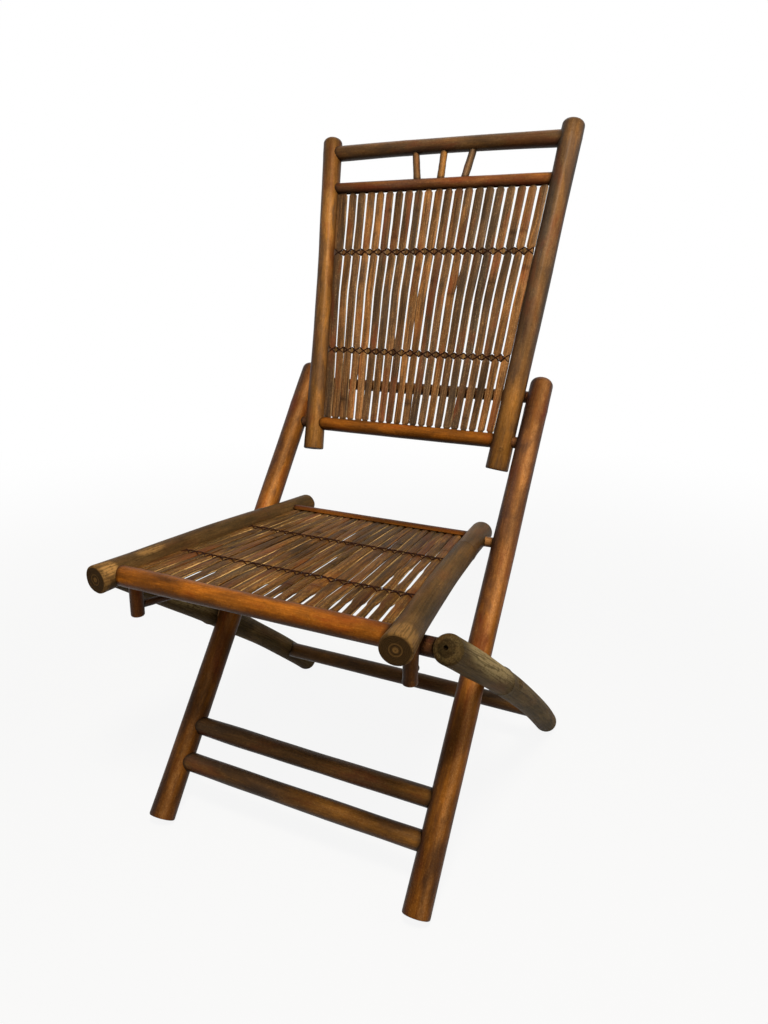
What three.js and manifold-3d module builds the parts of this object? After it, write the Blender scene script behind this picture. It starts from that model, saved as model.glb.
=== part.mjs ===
// A folding chair of bamboo culms with a slatted seat and a slatted, hinged back, standing open.
// Millimetres, +Z up; the chair's front faces -Y, and +X is on the right of someone who looks at it.
// The legs cross, and the back leans on a rod between the two long poles. All places are worked out as if the
// seat were level; the whole chair is then tipped back a little, until its four feet stand on the floor.
import * as THREE from "three";
import { mergeVertices } from "three/addons/utils/BufferGeometryUtils.js";
import Module from "manifold-3d";

const wasm = await Module();
wasm.setup();

// Fits and facets
const clearance = 0.3; // between pieces that touch, or where one is let into another
const hingeClearance = 0.6; // around a pin that turns in its hole
const cutOverrun = 5; // how far a cutting body runs past what it cuts
const edgeRounding = 0.8; // on the ends of pieces that have no rounding of their own
const thickSides = 18;
const thinSides = 12;
const cutterSides = 20;
const roundingSteps = 2;
const weldTolerance = 0.0001; // points closer than this are one point

// The two long poles, from the front feet to the upper rear; places are distances from a point near the foot
const pole = {
  leanDeg: 35.95,
  axisX: 198.7,
  footRadius: 17.9,
  topRadius: 16.6,
  rounding: 7,
  footRounding: 1.5,
  belowStart: 6.5, // how far the poles run on below place 0, where they are sawn off square
  aboveBack: 107.6, // how far the poles run on above the back's pivot
  nodeShares: [0.258, 0.527, 0.753],
};
const frontStretchers = {
  upper: { place: 129.3, radius: 13 },
  lower: { place: 77.1, radius: 13.3 },
};

// The node rings of a culm
const node = { rise: 0.9, halfLength: 3.5 };

// The seat: two level side rails that draw together towards the rear, hung on pins between the poles
const seat = { pivotPlace: 479.2, frontReach: 362.2, rearReach: 45.1, frontX: 198.1, rearX: 152.2 };
const seatRail = { radius: 17, rounding: 3, nodeShares: [0.363, 0.766] };
const frontRail = { inset: 25.9, radius: 13 };
const rearRail = { radius: 10.6 };
const peg = { inset: 56.5, radius: 8.8, drop: 67.4, rounding: 2 };
const hook = { radius: 5.2, drop: 52.9, slope: 0.125, rounding: 1.5 };
hook.reach = { left: 66, right: 17 }; // the right one is broken off short

// The rear legs: thick, gently bowed root ends outside the poles, with a rod under the seat and a stretcher
const leg = {
  pivotPlace: 294.6,
  topRadius: 17.9,
  footRadius: 18.8,
  topX: 228.4,
  footX: 241.3,
  sideGap: 0.8, // between a leg and the pole beside it
  pastRod: 16, // from the rod's axis to the leg's upper end
  footBehind: 465.5, // from the poles' place 0 back to the middle of the leg's rounded foot
  footRise: 14.8, // of that middle above place 0
  pastFoot: 10, // from that middle to the end of the leg
  rounding: 8,
  pivotCurveShare: 0.324, // where along its curve a leg crosses its pole
  nodeShares: [0.56],
  steps: 8,
};
const topRod = { radius: 11.3, depthInLeg: 12 };
const rearStretcher = { radius: 13, height: 77 };

// The back: two posts that spread upwards, three rails and a fan of spindles; heights run up from its pivot
const back = { aboveSeat: 157.2, leanDeg: 16.38, pivotX: 161.1, topX: 199.5, topReach: 470.8 };
back.footReach = 43; // how far the posts run below the pivot
const post = { topRadius: 15.8, footRadius: 16.5, rounding: 4, nodeShares: [0.202, 0.584] };
const topRail = { drop: 24.8, radius: 11.6 };
const secondRail = { drop: 83, radius: 9 };
const bottomRail = { radius: 10.9 };
const stopRod = { radius: 8.8 };
const spindle = { radius: 5.7, count: 3, footPitch: 38, topPitch: 49.5, shift: 3 };

// The pins of the three hinges; each sits in a pole and turns in the piece beside it
const backPin = { radius: 8.6, depthInPole: 12, depthInOther: 13 };
const seatPin = { radius: 7.3, depthInPole: 12, depthInOther: 13 };
const legPin = { radius: 7, depthInPole: 12, depthInOther: 14 };

// The slats: split bamboo with a tongue at each end, and a waist where each row of lacing passes
const slat = { thickness: 4.4, tongue: 3.4, grooveDepth: 4.8, cornerCut: 2.2, shoulderGap: 0.5 };
slat.waistDepth = 1.3;
slat.waistMargin = 2.2; // from the waist's narrow part to the slat's full width
const backSlat = { count: 21, startWidth: 11, endWidth: 12.7, edgeGap: 1.4 };
const seatSlat = { count: 22, startWidth: 13, endWidth: 13.5, edgeGap: 1.2, rise: 4 };
const seatPanels = { names: ["left", "right"], gap: 0.5 };

// The lacing: one thin cord for each row, led across all the slats and back, so that it crosses on every slat
const lacing = { radius: 0.8, halfHeight: 5.2, sides: 8 };
lacing.backShares = [0.3077, 0.7339]; // of the slats' length
lacing.seatShares = [0.2681, 0.6639];

// How the chair stands: its front is raised by this angle, and the floor takes a small flat off each foot
const stance = { tiltDeg: 1.75, poleFlat: 2.1 };

const sides = [["left", -1], ["right", 1]];

// Materials

function stained(color, roughness) {
  return new THREE.MeshStandardMaterial({ color, roughness, metalness: 0 });
}

const redBamboo = stained(0x6b3a17, 0.42);
const goldBamboo = stained(0x8a5320, 0.4);
const oliveBamboo = stained(0x4c3a24, 0.6);
const paleWood = stained(0x9a7047, 0.65);
const slatBamboo = stained(0x6e4a24, 0.5);
const cordFibre = stained(0x2a1610, 0.85);

// Solids and cuts

function toSolid(geometry) {
  const plain = geometry.clone();
  plain.deleteAttribute("normal");
  plain.deleteAttribute("uv");
  const merged = mergeVertices(plain, weldTolerance);
  const vertProperties = merged.attributes.position.array;
  const triVerts = new Uint32Array(merged.index.array);
  return new wasm.Manifold(new wasm.Mesh({ numProp: 3, vertProperties, triVerts }));
}

function toGeometry(solid) {
  const mesh = solid.getMesh();
  const geometry = new THREE.BufferGeometry();
  geometry.setAttribute("position", new THREE.BufferAttribute(new Float32Array(mesh.vertProperties), 3));
  geometry.setIndex(new THREE.BufferAttribute(new Uint32Array(mesh.triVerts), 1));
  const flat = geometry.toNonIndexed();
  flat.computeVertexNormals();
  return flat;
}

// The matrix that stands the local Z axis at one point, towards another
function alongMatrix(from, to) {
  const direction = new THREE.Vector3().subVectors(to, from).normalize();
  const turn = new THREE.Quaternion().setFromUnitVectors(new THREE.Vector3(0, 0, 1), direction);
  return new THREE.Matrix4().compose(from, turn, new THREE.Vector3(1, 1, 1));
}

// Cuts bodies, given in the group's frame, out of a placed mesh
function cut(mesh, ...cutters) {
  mesh.updateMatrix();
  const toLocal = mesh.matrix.clone().invert();
  let solid = toSolid(mesh.geometry);
  for (const cutter of cutters) {
    solid = solid.subtract(toSolid(cutter.clone().applyMatrix4(toLocal)));
  }
  mesh.geometry = toGeometry(solid);
  return mesh;
}

function namedMesh(name, geometry, material) {
  const mesh = new THREE.Mesh(geometry, material.clone());
  mesh.name = name;
  return mesh;
}

// A turned body about the local Z axis, from a profile of radius and height pairs
function turned(profile, segments) {
  const points = profile.map(([radius, height]) => new THREE.Vector2(radius, height));
  return new THREE.LatheGeometry(points, segments).rotateX(Math.PI / 2);
}

// The profile of a culm: rounded ends, an even taper, a low ring at each node, and rings for a bend
function culmProfile(length, startRadius, endRadius, rounding, nodeShares, steps, startRounding = rounding) {
  const radiusAt = (height) => startRadius + ((endRadius - startRadius) * height) / length;
  const nodePlaces = nodeShares.map((share) => share * length);
  const rings = [];
  for (const place of nodePlaces) {
    rings.push([radiusAt(place - node.halfLength), place - node.halfLength]);
    rings.push([radiusAt(place) + node.rise, place]);
    rings.push([radiusAt(place + node.halfLength), place + node.halfLength]);
  }
  for (let i = 1; i < steps; i += 1) {
    const height = (length * i) / steps;
    const clear = nodePlaces.every((place) => Math.abs(place - height) > 2 * node.halfLength);
    if (clear) rings.push([radiusAt(height), height]);
  }
  rings.sort((a, b) => a[1] - b[1]);
  const start = [];
  const end = [];
  for (let i = 0; i <= roundingSteps; i += 1) {
    const angle = (Math.PI / 2) * (i / roundingSteps);
    const inset = 1 - Math.sin(angle);
    const rise = 1 - Math.cos(angle);
    start.push([radiusAt(startRounding * rise) - startRounding * inset, startRounding * rise]);
    end.unshift([radiusAt(length - rounding * rise) - rounding * inset, length - rounding * rise]);
  }
  return [[0, 0], ...start, ...rings, ...end, [0, length]];
}

// A straight culm from one point to another
function culm(name, material, from, to, radii, options = {}) {
  const { rounding = edgeRounding, startRounding = rounding, nodeShares = [], segments = thinSides } = options;
  const profile = culmProfile(from.distanceTo(to), radii[0], radii[1], rounding, nodeShares, 1, startRounding);
  const mesh = namedMesh(name, turned(profile, segments), material);
  mesh.position.copy(from);
  mesh.quaternion.setFromRotationMatrix(alongMatrix(from, to));
  return mesh;
}

// The body of a culm bent along a curve that lies nearly in a plane of constant X, in the group's frame
function bentBody(curve, radii, rounding, nodeShares, steps, segments) {
  const length = curve.getLength();
  const body = turned(culmProfile(length, radii[0], radii[1], rounding, nodeShares, steps), segments);
  const place = body.attributes.position;
  const across = new THREE.Vector3(1, 0, 0);
  for (let i = 0; i < place.count; i += 1) {
    const share = THREE.MathUtils.clamp(place.getZ(i) / length, 0, 1);
    const tangent = curve.getTangentAt(share);
    const normal = new THREE.Vector3().crossVectors(tangent, across).normalize();
    const side = new THREE.Vector3().crossVectors(normal, tangent);
    const point = curve.getPointAt(share);
    point.addScaledVector(side, place.getX(i));
    point.addScaledVector(normal, place.getY(i));
    place.setXYZ(i, point.x, point.y, point.z);
  }
  return body;
}

// A plain round cutting body between two points, running past both of them
function bore(from, to, radius, overrun) {
  const end = from.distanceTo(to) + overrun;
  const corner = radius / Math.cos(Math.PI / cutterSides);
  const profile = [[0, -overrun], [corner, -overrun], [corner, end], [0, end]];
  return turned(profile, cutterSides).applyMatrix4(alongMatrix(from, to));
}

// Places on the poles, the seat and the back

const backPivotPlace = seat.pivotPlace + back.aboveSeat;
const poleLength = backPivotPlace + pole.aboveBack;
const poleLean = THREE.MathUtils.degToRad(pole.leanDeg);
const backLean = THREE.MathUtils.degToRad(back.leanDeg);

function onPole(place, x) {
  return new THREE.Vector3(x, place * Math.sin(poleLean), place * Math.cos(poleLean));
}

function poleRadiusAt(place) {
  return THREE.MathUtils.mapLinear(place, 0, poleLength, pole.footRadius, pole.topRadius);
}

const seatPivot = onPole(seat.pivotPlace, 0);
const seatFrontY = seatPivot.y - seat.frontReach;

function seatRailX(distance) {
  return THREE.MathUtils.mapLinear(distance, 0, seat.frontReach + seat.rearReach, seat.frontX, seat.rearX);
}

// A point by its distance behind the rails' front ends, its x, and its height above the rails' axes
function onSeat(distance, x, rise = 0) {
  return new THREE.Vector3(x, seatFrontY + distance, seatPivot.z + rise);
}

const backPivot = onPole(backPivotPlace, 0);

function postX(height) {
  return THREE.MathUtils.mapLinear(height, 0, back.topReach, back.pivotX, back.topX);
}

function postRadiusAt(height) {
  return THREE.MathUtils.mapLinear(height, -back.footReach, back.topReach, post.footRadius, post.topRadius);
}

// A point in the plane of the back by its height above the pivot, its x, and its distance in front
function onBack(height, x, front = 0) {
  const y = height * Math.sin(backLean) - front * Math.cos(backLean);
  const z = height * Math.cos(backLean) + front * Math.sin(backLean);
  return new THREE.Vector3(x, backPivot.y + y, backPivot.z + z);
}

// A stretcher or rail across the chair, with its ends hollowed to sit round the culms at its two sides
function crossPiece(name, material, centre, halfLength, radius, hollows, options = {}) {
  const from = centre.clone().setX(-halfLength);
  const to = centre.clone().setX(halfLength);
  const mesh = culm(name, material, from, to, [radius, radius], options);
  return cut(mesh, ...hollows);
}

function bothSides(make) {
  return sides.map(([label, side]) => make(side, label));
}

// Room for a pole, a seat rail or a post, with the usual clearance, near one place on it
function poleRoom(place, side, reach) {
  const from = onPole(place - reach, side * pole.axisX);
  const to = onPole(place + reach, side * pole.axisX);
  return bore(from, to, poleRadiusAt(place) + clearance, cutOverrun);
}

function seatRailRoom(distance, side, reach) {
  const from = onSeat(distance - reach, side * seatRailX(distance - reach));
  const to = onSeat(distance + reach, side * seatRailX(distance + reach));
  return bore(from, to, seatRail.radius + clearance, cutOverrun);
}

function postRoom(height, side, reach) {
  const from = onBack(height - reach, side * postX(height - reach));
  const to = onBack(height + reach, side * postX(height + reach));
  return bore(from, to, postRadiusAt(height) + clearance, cutOverrun);
}

// The floor as it lies before the chair is tipped back: it rises to the rear, and passes just above the lowest
// points of the poles' sawn ends
const stanceTilt = THREE.MathUtils.degToRad(stance.tiltDeg);
const floorNormal = new THREE.Vector3(0, -Math.sin(stanceTilt), Math.cos(stanceTilt));
const poleRear = new THREE.Vector3(0, Math.cos(poleLean), -Math.sin(poleLean));
const poleLowest = onPole(-pole.belowStart, 0).addScaledVector(poleRear, pole.footRadius);
const floorLevel = poleLowest.dot(floorNormal) + stance.poleFlat;

// The floor under a culm's foot, as a block wide enough for a slanting cut
function floorBlock(centre, radius) {
  const size = 4 * radius;
  const onFloor = centre.clone().addScaledVector(floorNormal, floorLevel - centre.dot(floorNormal));
  const block = new THREE.BoxGeometry(size, size, size).translate(0, 0, -size / 2).rotateX(stanceTilt);
  return block.translate(onFloor.x, onFloor.y, onFloor.z);
}

// The hinge pins: outward is 1 where the other piece lies outside the pole, and -1 where it lies inside

function hingePin(name, material, size, place, otherSurfaceX, side, outward) {
  const poleSurfaceX = pole.axisX + outward * poleRadiusAt(place);
  const from = onPole(place, side * (poleSurfaceX - outward * size.depthInPole));
  const to = onPole(place, side * (otherSurfaceX + outward * size.depthInOther));
  return {
    mesh: culm(name, material, from, to, [size.radius, size.radius]),
    tightHole: bore(from, to, size.radius + clearance, clearance),
    looseHole: bore(from, to, size.radius + hingeClearance, hingeClearance),
  };
}

const legAxisXAtPole =
  pole.axisX + poleRadiusAt(leg.pivotPlace) + leg.sideGap + Math.max(leg.topRadius, leg.footRadius);

const pins = {};
for (const [label, side] of sides) {
  pins[label] = {
    back: hingePin(
      "back_pivot_pin_" + label, redBamboo, backPin, backPivotPlace,
      back.pivotX + postRadiusAt(0), side, -1,
    ),
    seat: hingePin(
      "seat_pivot_pin_" + label, paleWood, seatPin, seat.pivotPlace,
      seatRailX(seat.frontReach) + seatRail.radius, side, -1,
    ),
    leg: hingePin(
      "leg_pivot_pin_" + label, redBamboo, legPin, leg.pivotPlace,
      legAxisXAtPole - (leg.topRadius + leg.footRadius) / 2, side, 1,
    ),
  };
}

// The frame: poles, front stretchers, and the rod that stops the back

const frameGroup = new THREE.Group();

for (const [label, side] of sides) {
  const from = onPole(-pole.belowStart, side * pole.axisX);
  const to = onPole(poleLength, side * pole.axisX);
  const mesh = culm("pole_" + label, redBamboo, from, to, [pole.footRadius, pole.topRadius], {
    rounding: pole.rounding,
    startRounding: pole.footRounding,
    nodeShares: pole.nodeShares,
    segments: thickSides,
  });
  const belowFloor = floorBlock(onPole(0, side * pole.axisX), pole.footRadius);
  const { back: backHinge, seat: seatHinge, leg: legHinge } = pins[label];
  cut(mesh, belowFloor, backHinge.tightHole, seatHinge.tightHole, legHinge.tightHole);
  frameGroup.add(mesh, backHinge.mesh, seatHinge.mesh, legHinge.mesh);
}

for (const [label, { place, radius }] of Object.entries(frontStretchers)) {
  const hollows = bothSides((side) => poleRoom(place, side, 2 * radius));
  frameGroup.add(
    crossPiece("front_stretcher_" + label, redBamboo, onPole(place, 0), pole.axisX, radius, hollows),
  );
}

const stopRodGap = postRadiusAt(stopRod.radius) + stopRod.radius + clearance;
const stopRodPlace = backPivotPlace + stopRodGap / Math.sin(poleLean - backLean);
frameGroup.add(
  crossPiece(
    "back_stop_rod", redBamboo, onPole(stopRodPlace, 0), pole.axisX, stopRod.radius,
    bothSides((side) => poleRoom(stopRodPlace, side, 2 * stopRod.radius)),
  ),
);

// The rear legs with their rod and stretcher

const legGroup = new THREE.Group();
const topRodCentre = onSeat(
  peg.inset + peg.radius + clearance + topRod.radius, 0,
  -(seatRail.radius + clearance + topRod.radius),
);

// A leg's axis: a quadratic curve through its upper end, its crossing with the pole and its foot
function legCurve(side) {
  const pivot = onPole(leg.pivotPlace, side * legAxisXAtPole);
  const rodPoint = topRodCentre.clone().setX(side * leg.topX);
  const upward = new THREE.Vector3().subVectors(rodPoint, pivot).normalize();
  const start = rodPoint.clone().addScaledVector(upward, leg.pastRod);
  const foot = new THREE.Vector3(side * leg.footX, leg.footBehind, leg.footRise);
  const downward = new THREE.Vector3().subVectors(foot, pivot).normalize();
  const end = foot.clone().addScaledVector(downward, leg.pastFoot);
  const t = leg.pivotCurveShare;
  const control = pivot.clone();
  control.addScaledVector(start, -((1 - t) ** 2));
  control.addScaledVector(end, -(t ** 2));
  control.divideScalar(2 * t * (1 - t));
  return new THREE.QuadraticBezierCurve3(start, control, end);
}

// The share of a curve's length at which it has come down to a height
function shareAtHeight(curve, height) {
  let above = 0;
  let below = 1;
  for (let halving = 0; halving < 40; halving += 1) {
    const middle = (above + below) / 2;
    if (curve.getPointAt(middle).z > height) above = middle;
    else below = middle;
  }
  return (above + below) / 2;
}

const legRodReach = leg.topX - leg.topRadius + topRod.depthInLeg;
const topRodEnds = [-1, 1].map((side) => topRodCentre.clone().setX(side * legRodReach));

for (const [label, side] of sides) {
  const curve = legCurve(side);
  const radii = [leg.topRadius, leg.footRadius];
  const body = bentBody(curve, radii, leg.rounding, leg.nodeShares, leg.steps, thickSides);
  const origin = curve.getPoint(0);
  const mesh = namedMesh("rear_leg_" + label, body.translate(-origin.x, -origin.y, -origin.z), oliveBamboo);
  mesh.position.copy(origin);
  const belowFloor = floorBlock(new THREE.Vector3(side * leg.footX, leg.footBehind, leg.footRise), leg.footRadius);
  const rodHole = bore(topRodEnds[0], topRodEnds[1], topRod.radius + clearance, clearance);
  cut(mesh, belowFloor, pins[label].leg.looseHole, rodHole);
  legGroup.add(mesh);
}

legGroup.add(culm(
  "leg_top_rod", oliveBamboo, topRodEnds[0], topRodEnds[1], [topRod.radius, topRod.radius],
));

const stretcherOnLeg = legCurve(1).getPointAt(shareAtHeight(legCurve(1), rearStretcher.height));
const legRooms = bothSides((side) => {
  const radii = [leg.topRadius + clearance, leg.footRadius + clearance];
  return bentBody(legCurve(side), radii, leg.rounding, leg.nodeShares, leg.steps, cutterSides);
});
legGroup.add(
  crossPiece(
    "rear_stretcher", redBamboo, stretcherOnLeg.clone().setX(0), stretcherOnLeg.x,
    rearStretcher.radius, legRooms,
  ),
);

// The seat: side rails, cross rails, and a peg with a hook behind it on each side

const seatGroup = new THREE.Group();
const seatLength = seat.frontReach + seat.rearReach;

function pegAxis(side) {
  const x = side * seatRailX(peg.inset);
  return { top: onSeat(peg.inset, x), bottom: onSeat(peg.inset, x, -peg.drop) };
}

// The hook runs back from the middle of the peg, beside the rail's own line and falling slightly
function hookAxis(side, reach) {
  const from = onSeat(peg.inset, side * seatRailX(peg.inset), -hook.drop);
  const to = onSeat(peg.inset + reach, side * seatRailX(peg.inset + reach), -hook.drop - hook.slope * reach);
  return { from, to };
}

for (const [label, side] of sides) {
  const rail = culm(
    "seat_rail_" + label, oliveBamboo,
    onSeat(0, side * seatRailX(0)), onSeat(seatLength, side * seatRailX(seatLength)),
    [seatRail.radius, seatRail.radius],
    { rounding: seatRail.rounding, nodeShares: seatRail.nodeShares, segments: thickSides },
  );
  const { top, bottom } = pegAxis(side);
  const pegHole = bore(top, bottom, peg.radius + clearance, clearance);
  cut(rail, pins[label].seat.looseHole, pegHole);

  const pegMesh = culm(
    "seat_peg_" + label, redBamboo, top, bottom, [peg.radius, peg.radius], { rounding: peg.rounding },
  );
  const { from, to } = hookAxis(side, hook.reach[label]);
  cut(pegMesh, bore(from, to, hook.radius + clearance, clearance));

  const hookMesh = culm(
    "seat_hook_" + label, redBamboo, from, to, [hook.radius, hook.radius], { rounding: hook.rounding },
  );
  seatGroup.add(rail, pegMesh, hookMesh);
}

// Where the slats' middle plane enters the two cross rails
const frontRailDistance = frontRail.inset;
const rearRailDistance = seat.frontReach;
const frontRailFace = frontRailDistance + Math.sqrt(frontRail.radius ** 2 - seatSlat.rise ** 2);
const rearRailFace = rearRailDistance - Math.sqrt(rearRail.radius ** 2 - seatSlat.rise ** 2);

// A slot for the slats' tongues, between two distances, as a box right across the chair
function seatGroove(fromDistance, toDistance) {
  const depth = toDistance - fromDistance;
  const box = new THREE.BoxGeometry(2 * seat.frontX, depth, slat.thickness + 2 * clearance);
  const middle = onSeat((fromDistance + toDistance) / 2, 0, seatSlat.rise);
  return box.translate(middle.x, middle.y, middle.z);
}

function seatCrossRail(name, material, distance, radius, groove) {
  const hollows = bothSides((side) => seatRailRoom(distance, side, 2 * radius));
  const centre = onSeat(distance, 0);
  return crossPiece(name, material, centre, seatRailX(distance), radius, [...hollows, groove]);
}

seatGroup.add(
  seatCrossRail(
    "seat_front_rail", goldBamboo, frontRailDistance, frontRail.radius,
    seatGroove(frontRailFace - slat.grooveDepth, frontRailFace + cutOverrun),
  ),
  seatCrossRail(
    "seat_rear_rail", goldBamboo, rearRailDistance, rearRail.radius,
    seatGroove(rearRailFace - cutOverrun, rearRailFace + slat.grooveDepth),
  ),
);

// The slats

// A slat's outline across X and along Y, from the root of its first tongue to that of its last one
function slatOutline(length, startWidth, endWidth, waists) {
  const halfWidthAt = (along) => THREE.MathUtils.mapLinear(along, 0, length, startWidth, endWidth) / 2;
  const shoulder = slat.tongue + slat.shoulderGap;
  const edge = [
    [halfWidthAt(0) - slat.cornerCut, 0],
    [halfWidthAt(0) - slat.cornerCut, shoulder],
    [halfWidthAt(0), shoulder + slat.cornerCut],
  ];
  for (const waist of waists) {
    const innerHalf = lacing.halfHeight + lacing.radius + clearance;
    const outerHalf = innerHalf + slat.waistMargin;
    const inner = halfWidthAt(waist) - slat.waistDepth;
    edge.push([halfWidthAt(waist), waist - outerHalf]);
    edge.push([inner, waist - innerHalf]);
    edge.push([inner, waist + innerHalf]);
    edge.push([halfWidthAt(waist), waist + outerHalf]);
  }
  edge.push([halfWidthAt(length), length - shoulder - slat.cornerCut]);
  edge.push([halfWidthAt(length) - slat.cornerCut, length - shoulder]);
  edge.push([halfWidthAt(length) - slat.cornerCut, length]);
  const mirrored = edge.map(([x, y]) => [-x, y]).reverse();
  return new THREE.Shape([...edge, ...mirrored].map(([x, y]) => new THREE.Vector2(x, y)));
}

// A slat between two points of its own middle plane, whose normal is given
function slatMesh(name, from, to, normal, widths, waists) {
  const outline = slatOutline(from.distanceTo(to), widths[0], widths[1], waists);
  const body = new THREE.ExtrudeGeometry(outline, { depth: slat.thickness, bevelEnabled: false });
  body.translate(0, 0, -slat.thickness / 2);
  const mesh = namedMesh(name, body, slatBamboo);
  const along = new THREE.Vector3().subVectors(to, from).normalize();
  const across = new THREE.Vector3().crossVectors(along, normal).normalize();
  mesh.position.copy(from);
  mesh.quaternion.setFromRotationMatrix(new THREE.Matrix4().makeBasis(across, along, normal));
  return mesh;
}

// The middle of each slat at one level, evenly spread between two edges
function slatCentres(count, width, halfSpan, edgeGap) {
  const outermost = halfSpan - edgeGap - width / 2;
  return Array.from(
    { length: count }, (_, i) => THREE.MathUtils.mapLinear(i, 0, count - 1, -outermost, outermost),
  );
}

// The seat's slats lie in two panels; towards the rear the slats of a panel press together
const up = new THREE.Vector3(0, 0, 1);
const seatSlatFrom = frontRailFace - slat.tongue;
const seatSlatTo = rearRailFace + slat.tongue;
const seatRows = lacing.seatShares.map((share) => THREE.MathUtils.lerp(seatSlatFrom, seatSlatTo, share));

// The middles of the seat's slats at one distance, spread evenly but never across the gap of the two panels
function seatSlatCentres(distance, width) {
  const outermost = seatRailX(distance) - seatRail.radius - seatSlat.edgeGap - width / 2;
  const innermost = Math.max(outermost / (seatSlat.count - 1), (width + seatPanels.gap) / 2);
  const perPanel = seatSlat.count / seatPanels.names.length;
  const right = Array.from(
    { length: perPanel }, (_, i) => THREE.MathUtils.mapLinear(i, 0, perPanel - 1, innermost, outermost),
  );
  return [...right.map((x) => -x).reverse(), ...right];
}

const seatSlatEnds = seatSlatCentres(seatSlatTo, seatSlat.endWidth);
const seatPlaces = seatSlatCentres(seatSlatFrom, seatSlat.startWidth).map((start, i) => (
  { start, end: seatSlatEnds[i] }
));
seatPanels.names.forEach((label, panel) => {
  const perPanel = seatSlat.count / seatPanels.names.length;
  let solid = null;
  for (const { start, end } of seatPlaces.slice(panel * perPanel, (panel + 1) * perPanel)) {
    const from = onSeat(seatSlatFrom, start, seatSlat.rise);
    const to = onSeat(seatSlatTo, end, seatSlat.rise);
    const waists = seatRows.map((row) => row - seatSlatFrom);
    const mesh = slatMesh("", from, to, up, [seatSlat.startWidth, seatSlat.endWidth], waists);
    mesh.updateMatrix();
    const piece = toSolid(mesh.geometry.applyMatrix4(mesh.matrix));
    solid = solid ? solid.add(piece) : piece;
  }
  seatGroup.add(namedMesh("seat_slats_" + label, toGeometry(solid), slatBamboo));
});

// The back: posts, rails and spindles

const backGroup = new THREE.Group();

for (const [label, side] of sides) {
  const mesh = culm(
    "back_post_" + label, oliveBamboo,
    onBack(-back.footReach, side * postX(-back.footReach)),
    onBack(back.topReach, side * postX(back.topReach)),
    [post.footRadius, post.topRadius],
    { rounding: post.rounding, nodeShares: post.nodeShares, segments: thickSides },
  );
  backGroup.add(cut(mesh, pins[label].back.looseHole));
}

// A slot for the slats' tongues between two heights, right across the back
function backGroove(fromHeight, toHeight) {
  const box = new THREE.BoxGeometry(2 * back.topX, slat.thickness + 2 * clearance, toHeight - fromHeight);
  const middle = onBack((fromHeight + toHeight) / 2, 0);
  return box.rotateX(-backLean).translate(middle.x, middle.y, middle.z);
}

function backRail(name, material, height, radius, ...grooves) {
  const hollows = bothSides((side) => postRoom(height, side, 2 * radius));
  return crossPiece(name, material, onBack(height, 0), postX(height), radius, [...hollows, ...grooves]);
}

const topRailHeight = back.topReach - topRail.drop;
const secondRailHeight = back.topReach - secondRail.drop;
const slatFootHeight = bottomRail.radius - slat.tongue;
const slatTopHeight = secondRailHeight - secondRail.radius + slat.tongue;

backGroup.add(
  backRail("back_top_rail", oliveBamboo, topRailHeight, topRail.radius),
  backRail(
    "back_second_rail", redBamboo, secondRailHeight, secondRail.radius,
    backGroove(slatTopHeight - slat.tongue - cutOverrun, slatTopHeight - slat.tongue + slat.grooveDepth),
  ),
  backRail(
    "back_bottom_rail", goldBamboo, 0, bottomRail.radius,
    backGroove(slatFootHeight + slat.tongue - slat.grooveDepth, slatFootHeight + slat.tongue + cutOverrun),
  ),
);

for (let i = 0; i < spindle.count; i += 1) {
  const step = i - (spindle.count - 1) / 2;
  const foot = onBack(secondRailHeight, spindle.shift + step * spindle.footPitch);
  const top = onBack(topRailHeight, spindle.shift + step * spindle.topPitch);
  const halfRoom = 2 * spindle.radius;
  const room = (height, x, radius) =>
    bore(onBack(height, x - halfRoom), onBack(height, x + halfRoom), radius + clearance, cutOverrun);
  const mesh = culm("back_spindle_" + (i + 1), oliveBamboo, foot, top, [spindle.radius, spindle.radius]);
  backGroup.add(cut(
    mesh, room(secondRailHeight, foot.x, secondRail.radius), room(topRailHeight, top.x, topRail.radius),
  ));
}

// The back's slats stand in slots of the bottom rail and of the second rail
const backNormal = onBack(0, 0, 1).sub(onBack(0, 0, 0)).normalize();
const backSlatFeet = slatCentres(
  backSlat.count, backSlat.startWidth, postX(slatFootHeight) - postRadiusAt(slatFootHeight), backSlat.edgeGap,
);
const backSlatTops = slatCentres(
  backSlat.count, backSlat.endWidth, postX(slatTopHeight) - postRadiusAt(slatTopHeight), backSlat.edgeGap,
);
for (let i = 0; i < backSlat.count; i += 1) {
  const from = onBack(slatFootHeight, backSlatFeet[i]);
  const to = onBack(slatTopHeight, backSlatTops[i]);
  const name = "back_slat_" + String(i + 1).padStart(2, "0");
  const waists = lacing.backShares.map((share) => share * from.distanceTo(to));
  backGroup.add(slatMesh(name, from, to, backNormal, [backSlat.startWidth, backSlat.endWidth], waists));
}

// The lacing

// A route that bends only at its own points
class RouteCurve extends THREE.Curve {
  constructor(points) {
    super();
    this.points = points;
  }

  getPoint(t, target = new THREE.Vector3()) {
    const place = t * (this.points.length - 1);
    const index = Math.min(Math.floor(place), this.points.length - 2);
    return target.lerpVectors(this.points[index], this.points[index + 1], place - index);
  }

  getPointAt(share, target) {
    return this.getPoint(share, target);
  }

  getTangentAt(share, target = new THREE.Vector3()) {
    const last = this.points.length - 1;
    const index = Math.round(share * last);
    const before = this.points[Math.max(index - 1, 0)];
    const after = this.points[Math.min(index + 1, last)];
    return target.subVectors(after, before).normalize();
  }
}

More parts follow.
